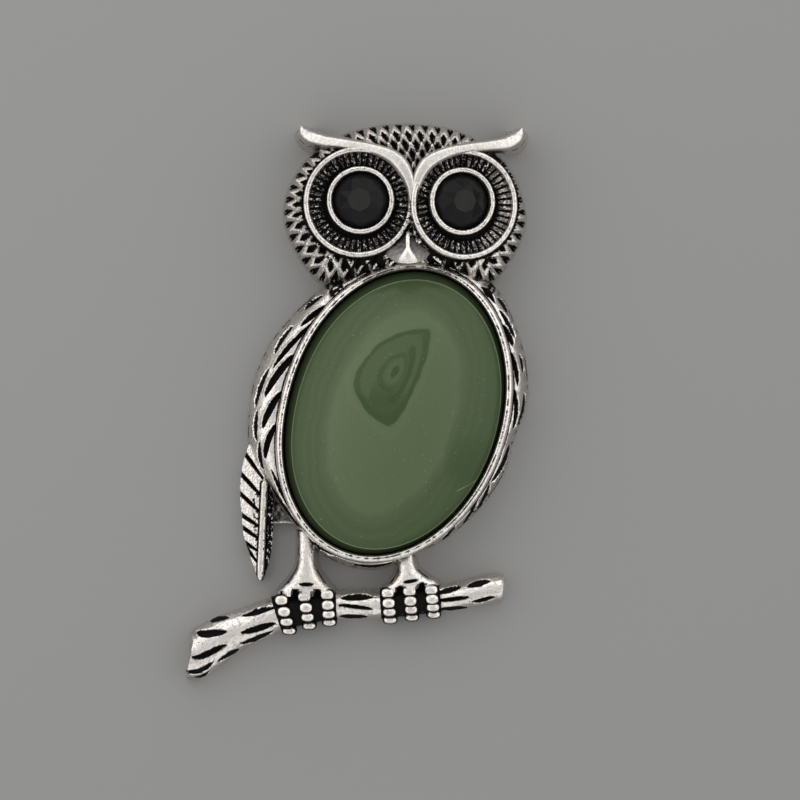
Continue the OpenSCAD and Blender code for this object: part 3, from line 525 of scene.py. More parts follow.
def rows_of(plan, z):
    """A grid from rows of plan points and a height for each row or point."""
    z = np.broadcast_to(np.asarray(z)[..., None] if np.ndim(z) == 1 else z, plan.shape[:2])
    return np.dstack([plan, z])


def drawn_in(outline, middle, shares):
    """Plan rows of an outline drawn in towards a middle, one for each share."""
    return middle + (outline - middle)[None] * shares[:, None, None]


def lathe(r, z, turn):
    """A grid from a profile of radii and heights, turned round the z axis."""
    heights = np.broadcast_to(z[:, None], (len(r), len(turn)))
    return np.dstack([r[:, None] * np.cos(turn), r[:, None] * np.sin(turn), heights])


def columns_of(grid):
    """Numbers of a grid's columns, counted from its middle."""
    return np.arange(grid.shape[1]) - (grid.shape[1] - 1) / 2


def one_shade(rows, shade):
    """Recess for a list of single rows that all have one shade."""
    return np.full((len(rows), rows[0].shape[1]), shade)


def faces_of(rows, cols, ring):
    """Quads of a grid with closed columns, and the fans that close its two ends."""
    index = np.arange(rows * cols).reshape(rows, cols)
    here = index if ring else index[:-1]
    next_row = np.roll(index, -1, 0) if ring else index[1:]
    quads = np.stack([here, next_row, np.roll(next_row, -1, 1), np.roll(here, -1, 1)], -1)
    quads = quads.reshape(-1, 4)
    if ring:
        return quads, np.zeros((0, 3), int)
    first, last = rows * cols, rows * cols + 1
    start = np.column_stack([np.full(cols, first), index[0], np.roll(index[0], -1)])
    end = np.column_stack([np.full(cols, last), np.roll(index[-1], -1), index[-1]])
    return quads, np.vstack([start, end])


def shell(grid, recess, ring=False):
    """Points, recess values and faces of one closed grid, with its faces turned outwards."""
    rows, cols = grid.shape[:2]
    recess = np.broadcast_to(recess, (rows, cols))
    points = grid.reshape(-1, 3)
    deep = recess.reshape(-1)
    if not ring:
        points = np.vstack([points, grid[0].mean(0), grid[-1].mean(0)])
        deep = np.r_[deep, recess[0].mean(), recess[-1].mean()]
    quads, fans = faces_of(rows, cols, ring)
    triangles = np.vstack([quads[:, :3], quads[:, [0, 2, 3]], fans])
    a, b, c = (points[triangles[:, k]] for k in range(3))
    if np.einsum("ij,ij->i", a, np.cross(b, c)).sum() < 0:
        quads, fans = quads[:, ::-1], fans[:, ::-1]
    return points, deep, quads, fans


def add_object(name, data):
    """An object in the scene that shows the data given."""
    made = bpy.data.objects.new(name, data)
    bpy.context.scene.collection.objects.link(made)
    return made


def make_piece(name, shells, material, replaces, sharp=50):
    """A mesh object from closed shells in mm about the stone's centre, riding on the brooch. Its
    edges are shaded sharp from an angle in degrees."""
    points, deep, quads, fans, start = [], [], [], [], 0
    for part in shells:
        points.append(part[0])
        deep.append(part[1])
        quads.append(part[2] + start)
        fans.append(part[3] + start)
        start += len(part[0])
    points, deep = np.vstack(points), np.concatenate(deep)
    quads, fans = np.vstack(quads), np.vstack(fans)
    corners = np.r_[quads.ravel(), fans.ravel()]
    starts = np.r_[np.arange(len(quads)) * 4, len(quads) * 4 + np.arange(len(fans)) * 3]
    mesh = bpy.data.meshes.new(name)
    mesh.vertices.add(len(points))
    mesh.vertices.foreach_set("co", (points * MM + MIDDLE).astype(np.float32).ravel())
    mesh.loops.add(len(corners))
    mesh.loops.foreach_set("vertex_index", corners.astype(np.int32))
    mesh.polygons.add(len(starts))
    mesh.polygons.foreach_set("loop_start", starts.astype(np.int32))
    mesh.update(calc_edges=True)
    # The recess value drives the patina; where a piece gives it to places in shade rather than hollows it
    # paints shade, and on the stone it marks a painted highlight and painted shade
    layer = mesh.attributes.new("recess", "FLOAT", "POINT")
    layer.data.foreach_set("value", deep.astype(np.float32))
    mesh.shade_smooth()
    mesh.set_sharp_from_angle(angle=radians(sharp))
    mesh.materials.append(material)
    piece = add_object(name, mesh)
    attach(piece, "root")
    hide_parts(replaces)


def cast_piece(name, *shells, even=False):
    """A piece of the silver casting, with an even patina where asked."""
    finish = once(bpy.data.materials, "even_silver" if even else "antique_silver", silver_finish)
    make_piece(name, shells, finish, "owl_casting")


def ribbon(path, section, slope, side_rows=3):
    """Grid swept along a path of x, y, half width, height and foot height.

    The section lists side and height shares over the top from right to left. Below it the sides
    spread by slope down to the foot."""
    left = left_of(path)
    x, y, half, height, foot = path.T
    shoulder = height * section[0, 1]
    down = np.linspace(0, 1, side_rows + 1)[1:]
    side = [half * section[0, 0] + (shoulder - foot) * slope * d for d in down]
    drop = [shoulder + (foot - shoulder) * d for d in down]
    across = [-w for w in side[::-1]] + [-half * p for p in section[:, 0]] + side
    level = drop[::-1] + [height * p for p in section[:, 1]] + drop
    across, level = np.array(across).T, np.array(level).T
    return np.dstack([x[:, None] + left[:, :1] * across, y[:, None] + left[:, 1:] * across, level])


# Outlines of the brooch

def flat_left(angle):
    """Share left of the oval's radius where its left side is a little flatter."""
    return 1 - 0.027 * bump(turned_by(angle, 172), 38)


def oval_r(s, a, b, angle):
    """Radius of an ellipse that leans with the stone, in a direction in degrees."""
    t = np.radians(angle - s.stone_turn)
    return a * b / np.hypot(b * np.cos(t), a * np.sin(t)) * flat_left(angle)


def bezel_r(s, angle):
    """Radius of the bezel's outside in a direction in degrees."""
    return oval_r(s, s.bezel_a, s.bezel_b, angle)


def polar(r, angle):
    """Plan points at a radius and an angle in degrees."""
    t = np.radians(angle)
    return np.stack([r * np.cos(t), r * np.sin(t)], -1)


def wing_reach(s, angle):
    """Reach of the wing outside the bezel."""
    return s.wing_w * smooth(np.asarray(angle, float), WING, period=360)


def body_point(s, angle, share):
    """Plan point of the wing, from the bezel at share 0 to the edge at share 1."""
    return polar(bezel_r(s, angle) + wing_reach(s, angle) * share, angle)


def wing_z(s, share):
    """Height of the wing at a share of the way from the bezel to the edge."""
    return s.edge_h + (s.wing_h - s.edge_h) * smooth(1 - share, WING_RISE)


def on_head(s, x, y):
    """Plan point on the head from shares of its half sizes."""
    return s.head + np.stack([x * s.head_w / 2, y * s.head_l / 2], -1)


def dome_z(s, share):
    """Height of the head's dome at a share of its outline: the edge plus a rise of
    sqrt(1 - share^3)."""
    return s.edge_h + (s.head_h - s.edge_h) * np.sqrt(np.clip(1 - share ** 3, 0, 1))


def eye_frame(s, eye):
    """Origin, x, y and z axes of an eye's leaning frame."""
    x, y, height, lean = EYES[eye][:4]
    t = radians(lean)
    origin = np.append(on_head(s, x, y), height * s.head_h)
    x_axis = np.array([np.cos(t), 0, np.sin(t)])
    z_axis = np.array([-np.sin(t), 0, np.cos(t)])
    return origin, x_axis, np.array([0.0, 1, 0]), z_axis


def in_eye(s, eye, local, shifted=False):
    """Points given in an eye's frame, with the ring's own shift where asked."""
    origin, ax, ay, az = eye_frame(s, eye)
    shift = np.array(EYES[eye][4:]) * s.eye_d if shifted else np.zeros(2)
    x, y, z = local[..., 0] + shift[0], local[..., 1] + shift[1], local[..., 2]
    return origin + x[..., None] * ax + y[..., None] * ay + z[..., None] * az


# Head

def nearest(points, outline):
    """Distance from each point to the nearest point of an outline, and that point's number."""
    flat = points.reshape(-1, 2)
    gap, where = np.empty(len(flat)), np.empty(len(flat), int)
    for part in np.array_split(np.arange(len(flat)), 60):
        squares = ((flat[part, None] - outline[None]) ** 2).sum(-1)
        where[part] = squares.argmin(1)
        gap[part] = np.sqrt(squares.min(1))
    return gap.reshape(points.shape[:2]), where.reshape(points.shape[:2])


def feather_net(s, along, depth, lean, chin):
    """Net of feather tips on a diamond lattice over the distance along and in from the outline.

    Every other row is shifted by half a pitch, and the lean slants the rows under the eyes towards
    the sides. A cell's norm |across| / half width + |in| / half length is 0 in the middle of its pit
    and 1 at its rim, and the outermost pits run open to the edge round a small tooth. On the chin
    only the crests of the tips stay bright. Returns height and recess."""
    u = (along - s.net_shift - lean * depth) / s.net_pitch
    v = (depth - s.net_start) / s.net_row
    best = np.full(u.shape, 9.0)
    tip = np.zeros(u.shape)
    for odd in (0, 1):
        row = 2 * np.round((v - odd) / 2) + odd
        across = (u - odd / 2 - np.round(u - odd / 2)) * s.net_pitch
        inward = (v - row) * s.net_row
        half_l = np.where(inward < 0, 0.40, 0.62) * s.pit_l
        open_end = (row <= 0) & (inward < 0)
        length = np.where(open_end, 0.25, 1.0) * np.abs(inward) / half_l
        norm = np.abs(across) / (s.pit_w / 2) + length
        tooth = np.abs(across) / TOOTH_HALF_W + np.abs(inward + s.net_start) / TOOTH_HALF_L
        norm = np.where(open_end & (tooth < 1), 1.4, norm)
        closer = norm < best
        best = np.where(closer, norm, best)
        tip = np.where(closer, step(0.45, -0.75, inward / half_l), tip)
    inner_rows = step(1.2, 2.2, depth)
    pit = 1 - step(0.40, 1.05, best)
    ridge = step(0.90, 1.75, best) * (0.35 + 0.65 * tip)
    height = -s.pit_d * (1 + 0.3 * inner_rows) * pit + (NET_RIDGE + 0.14 * inner_rows) * ridge
    grain = noise(along, depth, 0.09, 17)
    legs = (1 - tip) * (1 - step(1.05 + 0.35 * inner_rows, 1.5 + 0.6 * inner_rows, best))
    legs = legs * step(-0.5 - 0.6 * inner_rows, 0.3 - 0.6 * inner_rows, grain)
    recess = np.maximum(1 - step(0.92, 1.06, best), (0.75 + 0.2 * inner_rows) * legs)
    crest = step(1.10, 1.30, best) * step(0.45, 0.75, tip) * step(-0.5, 0.0, grain + 0.4 * inner_rows)
    recess = np.maximum(recess, chin * (1 - crest))
    return height, recess


def head_relief(s, plan):
    """Height and recess of the head's net, of the dark dashed line along its edge and of its two
    plain hollows, with each point's distance taken to a finer outline."""
    fine = curve(HEAD * [s.head_w / 2, s.head_l / 2], HEAD_AROUND * 2, closed=True)
    way = np.linalg.norm(np.roll(fine, -1, 0) - fine, axis=1).mean()
    total = way * len(fine)
    s.net_pitch = total / round(total / s.net_pitch)
    gap, where = nearest(plan, fine)
    direction = np.degrees(np.arctan2(plan[..., 1], plan[..., 0])) % 360
    chin = 1 - step(0.40, 0.58, np.abs(plan[..., 0]) / (s.head_w / 2))
    chin = chin * (1 - step(-0.62, -0.45, plan[..., 1] / (s.head_l / 2)))
    height, recess = feather_net(s, where * way, gap, smooth(direction, NET_LEAN), chin)
    rim_line = bump(gap - 0.06, 0.05) * step(-0.1, 0.3, noise(where * way, 0.0, 0.5, 19))
    recess = np.maximum(recess, 0.9 * rim_line)
    height = height * step(0, 0.25, gap)
    for x, y, r in HEAD_HOLLOWS:
        away = np.linalg.norm(plan - [x * s.head_w / 2, y * s.head_l / 2], axis=-1) / r
        dip = 1 - step(0.7, 1.05, away)
        height = height * (1 - dip) - s.pit_d * dip
        recess = np.maximum(recess, dip * (0.85 + 0.15 * noise_on(plan, 0.2, 29)))
    return height, recess


def make_room_for_disc(s, eye, grid, height, recess):
    """Lowers the head's grid under an eye disc. Returns the relief, flat there, and the recess, with
    painted shade round it."""
    origin, ax, _, az = eye_frame(s, eye)
    centre = origin[:2] - s.head
    x, y, z = (grid[..., k] for k in range(3))
    r = np.hypot((x - centre[0]) / ax[0], y - centre[1])
    level = origin[2] + (x - centre[0]) * ax[2] / ax[0] - s.dish_d * 1.4
    inside = 1 - step(s.disc_r - 0.25, s.disc_r + 0.05, r)
    grid[..., 2] = np.where(inside > 0, z * (1 - inside) + np.minimum(z, level) * inside, z)
    # Painted shade on the head round the disc's edge
    painted_shade_round_disc = 1 - step(s.disc_r + s.wire_t * 0.5, s.disc_r + 0.65, r)
    return height * (1 - inside), np.maximum(recess, painted_shade_round_disc)


def make_head(s):
    """Domed shell, hollow behind: rows at shares of the outline from the top's middle to the
    edge, down the drafted side, under the rim and up the hollow."""
    outline = curve(HEAD * [s.head_w / 2, s.head_l / 2], HEAD_AROUND, closed=True)
    unit = outline / np.linalg.norm(outline, axis=1, keepdims=True)
    top = outline - unit * s.edge_h * s.slope
    shares = np.r_[np.linspace(0.03, 0.36, 8), np.linspace(0.39, 0.985, HEAD_ROWS), 0.993, 0.998, 1.0]
    plan = top[None] * shares[:, None, None]
    grid = rows_of(plan, dome_z(s, shares))
    height, recess = head_relief(s, plan)
    for eye in EYES:
        height, recess = make_room_for_disc(s, eye, grid, height, recess)
    grid = raised(grid, height)
    side = [rows_of(outline[None] - unit[None] * z * s.slope, z) for z in (s.edge_h * 0.6, FOOT_Z)]
    up_the_hollow = ((0.985, 0.25), (0.97, 0.5), (0.93, 0.85), (0.86, 1.0), (0.4, 1.0), (0.1, 1.0))
    hollow = [(1.0, FOOT_Z)] + [(share, s.hollow_h * rise) for share, rise in up_the_hollow]
    inner = [rows_of(outline[None] * share - unit[None] * s.wall, z) for share, z in hollow]
    grid = np.vstack([grid] + side + inner)
    grid[..., :2] += s.head
    deep = np.vstack([recess, one_shade(side, SIDE_SHADE), one_shade(inner, BACK_SHADE)])
    cast_piece("head_shell", shell(grid, deep))


def make_brow(s, name):
    """Polished horn: a nearly flat top with rounded shoulders on drafted sides, its foot inside
    the head and on the back plane beyond it."""
    rows = BROWS[name]
    plan = on_head(s, rows[:, 0], rows[:, 1])
    path = curve(np.column_stack([plan, rows[:, 2:] * [s.brow_w, s.brow_h]]), 150)
    share = np.linspace(0, 1, len(path))
    path[:, 2] *= np.sqrt(np.clip((1 - share) / 0.035, 0.02, 1))
    inside = s.hollow_h + SUNK
    path = np.column_stack([path, inside - inside * step(0.80, 0.93, share)])
    turn, side = arch(31, 0.55)
    level = 0.87 + 0.10 * np.sin(turn) ** 0.6 + 0.03 * np.sin(turn) ** 2
    section = np.column_stack([side, level])
    grid = ribbon(path, section, s.slope, 8)
    cols = grid.shape[1]
    lean = np.abs(columns_of(grid))
    on_top = 1 - step(15, 17, lean)
    # Painted shade greys the top, a little more away from its crest; a dark dashed line runs down each
    # side, and the lowest side rows are a little darker
    recess = (on_top * (0.36 + 0.09 * step(3, 10, lean)))[None] * np.ones((len(path), 1))
    foot_line = noise(np.linspace(0, 60, len(path))[:, None], 0.0, 1.0, 53)
    recess += 0.7 * bump(lean - (cols / 2 - 5.5), 0.8)[None] * step(-0.4, 0.1, foot_line)
    recess += 0.15 * step(cols / 2 - 5, cols / 2 - 2, lean)[None]
    cast_piece("brow_" + name, shell(grid, recess), even=True)


def make_beak(s):
    """Beak: two steep faces that meet in a ridge, which widens and rounds off towards the bottom."""
    right = curve(np.column_stack([BEAK[:, 0] * s.beak_w, BEAK[:, 1] * s.beak_l]), 71)
    outline = np.vstack([right[::-1], right[1:-1] * [-1, 1]])
    middle = np.array([0.0, -0.66 * s.beak_l])
    shares = np.r_[np.linspace(0.02, 0.9, 40), np.linspace(0.91, 1, 12)]
    plan = drawn_in(outline, middle, shares)
    down = -plan[..., 1] / s.beak_l
    ridge = s.beak_h * smooth(down, BEAK_RIDGE)
    round_off = 0.10 + 0.55 * step(0.55, 0.95, down)
    fall = BEAK_FALL * (np.sqrt(plan[..., 0] ** 2 + round_off ** 2) - round_off)
    z = ridge - fall - 0.16 * step(0.90, 1.0, shares)[:, None] ** 2
    z = z + 0.006 * noise_on(plan, 0.12, 89)
    grid = rows_of(plan, z)
    foot = [rows_of(outline[None], z[-1:] - 0.35), rows_of(outline[None] * 0.98, s.hollow_h + SUNK)]
    grid = np.vstack([grid] + foot)
    bridge = (BROWS["left"][0, 0] + BROWS["right"][0, 0]) / 2 - 0.045
    grid[..., :2] += on_head(s, bridge, -0.335)
    # Painted shade greys the two faces, less towards the bottom, and leaves the ridge bright; the upper
    # outline is darker, and the foot rows are grey
    crest = 0.15 + 0.66 * step(0.46, 0.90, down)
    face = step(crest * 0.7, crest * 1.3, np.abs(plan[..., 0]))
    recess = face * (0.64 - 0.18 * down)
    recess = np.maximum(recess, 0.8 * step(0.985, 1.0, shares)[:, None] * (1 - step(0.6, 0.8, down)))
    recess = np.vstack([recess, np.full((2, len(outline)), 0.45)])
    cast_piece("beak", shell(grid, recess), even=True)


# Eyes

def disc_profile(s):
    """Radii and heights of an eye disc from its floor over its wire to its back, and how many
    belong to the floor."""
    floor_r = np.linspace(s.ring_r - 0.1, s.disc_r - s.wire_t / 2, 34)
    floor_z = -s.dish_d + (s.dish_edge + s.dish_d) * step(s.ring_r, s.disc_r, floor_r)
    arc = np.radians(np.linspace(170, 0, 13))
    outer = s.disc_r + s.wire_t / 2
    r = np.r_[floor_r, s.disc_r + s.wire_t / 2 * np.cos(arc), outer, outer, s.ring_r - 0.1]
    z = np.r_[floor_z, s.wire_t / 2 * np.sin(arc), -0.5, s.dish_base, s.dish_base]
    return r, z, len(floor_r)


def wear_line(middle, width, r, turn, low, high, cell, seed):
    """Broken dark line along the middle of a wire."""
    return bump(r - middle, width) * step(low, high, noise(turn[None] * middle, 0.0, cell, seed))


def make_disc(s, eye):
    """Eye disc: a dish with grainy ribs, turned round the eye's axis, and its outer wire."""
    turn = even_turn(DISC_AROUND)
    r, z, floor_rows = disc_profile(s)
    rr = r[:, None]
    on_floor = (np.arange(len(r)) < floor_rows)[:, None]
    rib = turn[None] * s.ribs / (2 * np.pi)
    number = np.floor(rib)
    across = np.abs(rib - number - 0.5) * 2
    inner_fade = step(s.ring_r + 0.30, s.ring_r + 0.6, rr)
    fading = inner_fade * (1 - step(s.disc_r - 0.42, s.disc_r - 0.30, rr) * 0.5)
    seed = 11 if eye == "left" else 23
    grains = noise(number * 7.3 + rib * 2.3, rr, 0.13, seed)
    bar = (1 - step(0.55, 0.82, across)) * fading
    height = np.where(on_floor, s.rib_h * bar * (0.70 + 0.45 * grains), 0)
    wobble = noise(turn[None] * s.disc_r, rr, 0.35, seed + 1)
    height = height + np.where(on_floor, 0.02 * wobble, 0)
    bright_ribs_and_painted_light = step(s.ring_r + 0.3, s.ring_r + 1.0, rr) * bar
    # The right eye's disc is lighter on its right side as seen from above: painted light
    if eye == "right":
        bright_ribs_and_painted_light = bright_ribs_and_painted_light * (1 + 0.35 * step(0.1, 0.9, np.cos(turn[None] + 0.2)))
    recess = 1 - bright_ribs_and_painted_light * (0.36 + 0.44 * step(0.1, 0.8, grains))
    recess = np.where(on_floor, recess - 0.10 * (1 - bar) * step(0.3, 0.0, across), 0)
    mid = wear_line(s.disc_r, 0.045, rr, turn, -0.3, 0.2, 0.22, seed + 2)
    wire = (np.abs(rr - s.disc_r) <= s.wire_t / 2) & ~on_floor
    recess = np.where(wire, 0.75 * mid, recess)
    recess[-3:] = 1
    grid = in_eye(s, eye, lathe(r, z, turn))
    height = height - np.where(wire, WIRE_GROOVE * mid, 0)
    cast_piece("eye_disc_" + eye, shell(raised(grid, height), recess, ring=True))


def make_ring(s, eye):
    """Inner ring: a wire round the eye stone on its cup, turned round the eye's axis."""
    turn = even_turn(RING_AROUND)
    arc = np.radians(np.linspace(180, 0, 17))
    inner, outer = s.ring_r - s.wire_t / 2, s.ring_r + s.wire_t / 2
    r = np.r_[inner, inner, s.ring_r + s.wire_t / 2 * np.cos(arc), outer, outer, inner]
    z = np.r_[s.dish_base, -0.4, s.wire_t / 2 * np.sin(arc), -0.5, s.dish_base, s.dish_base]
    mid = wear_line(s.ring_r, 0.04, r[:, None], turn, -0.2, 0.3, 0.2, 31 if eye == "left" else 47)
    wire = ((np.arange(len(r)) > 1) & (np.arange(len(r)) < len(r) - 3))[:, None]
    grid = in_eye(s, eye, lathe(r, z, turn), shifted=True)
    grid = raised(grid, np.where(wire, -WIRE_GROOVE * mid, 0))
    cast_piece("eye_ring_" + eye, shell(grid, np.where(wire, 0.75 * mid, 1.0), ring=True))


# Body

def wing_relief(s, angle, share):
    """Feather cuts on the wing. In a cut's own angles its middle runs straight from one share
    to another, and across it counts outwards in mm."""
    height = np.zeros(np.broadcast(angle, share).shape)
    recess = np.zeros(height.shape)
    reach = wing_reach(s, angle)
    radius = bezel_r(s, angle)
    for a0, s0, a1, s1, half in CUTS:
        along = turned_by(angle, a0) / (a1 - a0)
        run = np.radians(a1 - a0) * radius
        lean = np.arctan2((s1 - s0) * reach, run)
        across = (share - (s0 + (s1 - s0) * along)) * reach * np.cos(lean)
        cut = lens(along, across, half * s.wing_w)
        shallow = 1 - 0.7 * step(0.45, 0.8, (s0 + s1) / 2)
        height, recess = cut_in(height, recess, cut, s.cut_d * shallow, LIP_H)
    edge = (1 - share) * reach
    dashes = step(-0.1, 0.25, noise(np.radians(angle) * radius, 0.0, 0.45, 37))
    recess = np.maximum(recess, 0.8 * dashes * bump(edge - 0.28, 0.035))
    recess = np.maximum(recess, 0.7 * dashes * (1 - step(0.03, 0.07, edge)))
    for a0, a1 in NECK:
        inside = step(a0 - 3, a0 + 2, angle) * (1 - step(a1 - 3, a1 + 3, angle)) * step(0.0, 0.3, share)
        folds = noise(angle * 0.35 + share * reach * 0.8, share * reach - angle * 0.1, 0.35, 43)
        height = height + NECK_FOLD_H * folds * inside
        recess = np.maximum(recess, inside * (0.85 - 0.8 * step(0.05, 0.5, folds)))
    return height, recess


def make_wing(s):
    """Wing band with the seat under the stone and the shallow hollow behind it: rows from the
    seat's middle out to the bezel, over the wing to its edge, and back under."""
    angle = even_turn(WING_AROUND, 360)[None]
    share = np.linspace(0, 1, WING_ROWS)[:, None]
    inset = s.edge_h * s.slope
    reach = wing_reach(s, angle)
    bezel = bezel_r(s, angle)
    tuck = 0.05
    r = bezel - tuck + (reach - inset + tuck) * share
    plan = polar(r, np.broadcast_to(angle, r.shape))
    rise = wing_z(s, share) - 0.10 * bump(share - 1, 0.02)
    top = rows_of(plan, np.broadcast_to(rise, plan.shape[:2]))
    height, recess = wing_relief(s, angle, share)
    height = height * step(0, 0.04, share) * (1 - step(0.96, 1, share))
    serrated = 0.05 * noise(np.radians(angle) * bezel, 0.0, 0.3, 41)
    foot = 1 - step(0.26, 0.36, share * reach + serrated)
    top = raised(top, height - BEZEL_DIP * foot)

    def loop(r, z):
        """One row at a radius for each direction and at one height."""
        return rows_of(polar(r, angle), z)

    def oval_loop(a, b, z):
        """One row along an oval."""
        return loop(oval_r(s, a, b, angle), z)

    seat = [oval_loop(s.pocket_a * k, s.pocket_b * k, s.seat_z) for k in (0.03, 0.5, 0.99)]
    seat.append(loop(bezel - s.rim_w * 0.5, s.wing_h * 0.95))
    side = [loop(bezel + reach - inset * 0.5, s.edge_h * 0.5), loop(bezel + reach, 0.0)]
    step_in = s.seat_hollow * s.slope
    low = s.wall * 1.2 + step_in
    back = [loop(bezel + reach * 0.5, 0.0)]
    back += [oval_loop(s.bezel_a - gap, s.bezel_b - gap, z)
             for gap, z in ((low, 0.0), (low + step_in, s.seat_hollow))]
    back += [oval_loop(s.bezel_a * k, s.bezel_b * k, s.seat_hollow) for k in (0.5, 0.03)]
    deep = np.vstack([one_shade(seat, 1.0), np.maximum(recess, foot),
                      one_shade(side, SIDE_SHADE), one_shade(back, BACK_SHADE)])
    cast_piece("wing_band", shell(np.vstack(seat + [top] + side + back), deep))


def make_bezel(s):
    """Bezel: a profile carried round the stone, two fine beads with a dotted groove between."""
    angle = even_turn(BEZEL_AROUND, 360)[None]
    profile = curve(BEZEL * [s.rim_w, s.rim_z], 46)
    out, z = profile[:, :1], profile[:, 1:]
    r = oval_r(s, s.pocket_a, s.pocket_b, angle)
    ratio = oval_r(s, s.pocket_a + 1, s.pocket_b + 1, angle) - r
    plan = polar(r + ratio * out, np.broadcast_to(angle, (len(profile), BEZEL_AROUND)))
    grid = rows_of(plan, np.broadcast_to(z, plan.shape[:2]))
    groove = bump(out - 0.43 * s.rim_w, 0.05) * (z > 0.9 * s.rim_z)
    dots = step(-0.45, 0.05, noise(np.radians(angle) * r, 0.0, 0.16, 5))
    inner = (1 - step(0.03, 0.07, out / s.rim_w)) * (z > 0.5 * s.rim_z)
    recess = np.maximum(groove * (0.25 + 0.75 * dots), inner)
    recess = np.maximum(recess, step(0.84, 0.70, z / s.rim_z) * np.ones_like(angle))
    cast_piece("bezel", shell(raised(grid, -0.05 * groove * dots), recess, ring=True))


# Tail

def on_tail(s, along, side):
    """Plan point on the tail feather, down its quill and to its right."""
    root = body_point(s, TAIL_ANGLE, 0.37)
    t = radians(270 - TAIL_LEAN)
    down = np.array([np.cos(t), np.sin(t)])
    right = np.array([-down[1], down[0]])
    return root + np.asarray(along)[..., None] * s.tail_l * down + np.asarray(side)[..., None] * right


def make_vanes(s):
    """Vanes that slope from the quill, cut into pillowed barbs on its left."""
    count = 300
    along = np.linspace(0, 1, count)
    left = s.tail_w * smooth(along, TAIL, column=1)
    right = s.tail_w * smooth(along, TAIL, column=2)
    across = np.r_[np.linspace(1, 0, 40), -np.linspace(0, 1, 14)[1:]]
    side = np.where(across[None] >= 0, -across[None] * left[:, None], -across[None] * right[:, None])
    edge_z = s.edge_h * 0.9
    z = edge_z + (s.quill_h * 0.72 - edge_z) * (1 - np.abs(across[None]) ** 1.2)
    z = z * np.ones((count, 1))
    down = along[:, None] * s.tail_l
    depth = np.zeros(side.shape)
    below = np.full(side.shape, -9.0)
    for start, angle in BARBS:
        t = radians(angle)
        distance = (along[:, None] - start) * s.tail_l * np.cos(t) - side * np.sin(t)
        taper = 0.55 + 0.45 * step(-s.quill_w * 0.5, -s.tail_w * 0.6, side)
        cut = 1 - step(s.barb_cut * 0.35, s.barb_cut * 0.70, np.abs(distance) / taper)
        depth = np.maximum(depth, cut * (side < -s.quill_w * 0.3))
        below = np.where(distance > 0, distance, below)
    barb = bump(below - s.tail_l * 0.05, s.tail_l * 0.045) * (side < 0)
    rough = noise(side * 3, down, 0.22, 61)
    near_quill = 1 - step(0.06, 0.20, np.abs(side) - s.quill_w / 2)
    near_quill = near_quill * step(0.26, 0.29, along)[:, None]
    cut_d = np.minimum(z - 0.5, 1.3) * np.maximum(depth, 0.35 * near_quill)
    z = z + BARB_H * barb + VANE_GRAIN * rough - cut_d
    top = np.dstack([on_tail(s, along[:, None] * np.ones(side.shape), side), z])
    edge = [top[:, end] * [1, 1, 0] + [0, 0, FOOT_Z / 2] for end in (slice(-1, None), slice(0, 1))]
    grid = np.concatenate([top] + edge, axis=1)
    recess = np.maximum(depth, near_quill)
    fleck = noise(side, down, 0.16, 63)
    pits = step(0.05, 0.35, fleck) * (1 - step(0.35, 0.65, across[None]))
    pits = pits * step(0.25, 0.35, along)[:, None]
    recess = np.maximum(recess, np.where(side > 0, 0.9 - 0.7 * step(0.2, 0.7, rough), 0.75 * pits))
    # The vanes' two sides down to the floor take painted shade
    recess = np.concatenate([recess, np.full((count, 2), 0.4)], axis=1)
    cast_piece("tail_vanes", shell(grid, recess))


def make_quill(s):
    """The tail's quill: a rounded rib that thins to its tip, with a dotted line along its left."""
    along = np.linspace(0.265, 0.995, 160)
    half = s.quill_w / 2 * smooth(along, TAIL, column=3)
    half = half * np.sqrt(np.clip(np.minimum(1 - along, along - 0.262) / 0.03, 0.05, 1))
    height = s.quill_h * (1 - 0.12 * step(0.9, 1.0, along))
    middle = on_tail(s, along, np.zeros(len(along)))
    path = np.column_stack([middle, half, height, np.full(len(along), FOOT_Z)])
    turn, side = arch(19, 0.7)
    grid = ribbon(path, np.column_stack([side, 0.90 + 0.10 * np.sin(turn)]), 0.03, 4)
    column = columns_of(grid)[None]
    dots = step(0, 0.4, noise(along[:, None] * s.tail_l, 0.0, 0.2, 67))
    recess = 0.9 * bump(column - 3.5, 1.7) * dots + step(9.5, 12, np.abs(column))
    # Painted shade darkens the half on the dotted line's side, the right as seen from above
    recess = recess + 0.34 * step(4, 8, column)
    cast_piece("tail_quill", shell(grid, np.clip(recess, 0, 1)))


def make_web(s):
    """Low rough web between the tail feather and the body, inside a raised rim."""
    corners = np.array([
        on_tail(s, 0.20, s.tail_w * 0.12), on_tail(s, 0.58, s.tail_w * 0.36),
        on_tail(s, 0.57, s.tail_w * 0.9), body_point(s, 230, 0.3), body_point(s, 218, -0.5),
        body_point(s, 205, -0.3),
    ])
    edges = zip(corners, np.roll(corners, -1, 0))
    outline = np.vstack([np.linspace(a, b, 24, endpoint=False) for a, b in edges])
    shares = np.linspace(0.03, 1, 26)
    plan = drawn_in(outline, corners.mean(0), shares)
    rough = noise_on(plan, 0.35, 71) + 0.5 * noise_on(plan, 0.15, 73)
    rim = step(0.88, 0.97, shares)[:, None]
    top = rows_of(plan, s.edge_h * 0.72 + 0.07 * rough + 0.15 * rim)
    grid = np.vstack([top, rows_of(outline[None], FOOT_Z)])
    deep = (0.56 - 0.06 * rough) * (1 - rim) + (0.42 - 0.15 * rough) * rim
    # The web's side down to the floor takes painted shade
    recess = np.vstack([deep, np.full((1, len(outline)), 0.6)])
    cast_piece("tail_web", shell(grid, recess), even=True)


# Branch and feet

def branch_path(s):
    """The branch's path at even distances: x, y and half thickness."""
    rows = BRANCH * [s.branch_l, s.branch_l, s.branch_t] + [BRANCH_LEFT * s.branch_l, s.branch_y, 0]
    return curve(rows, BRANCH_ROWS)


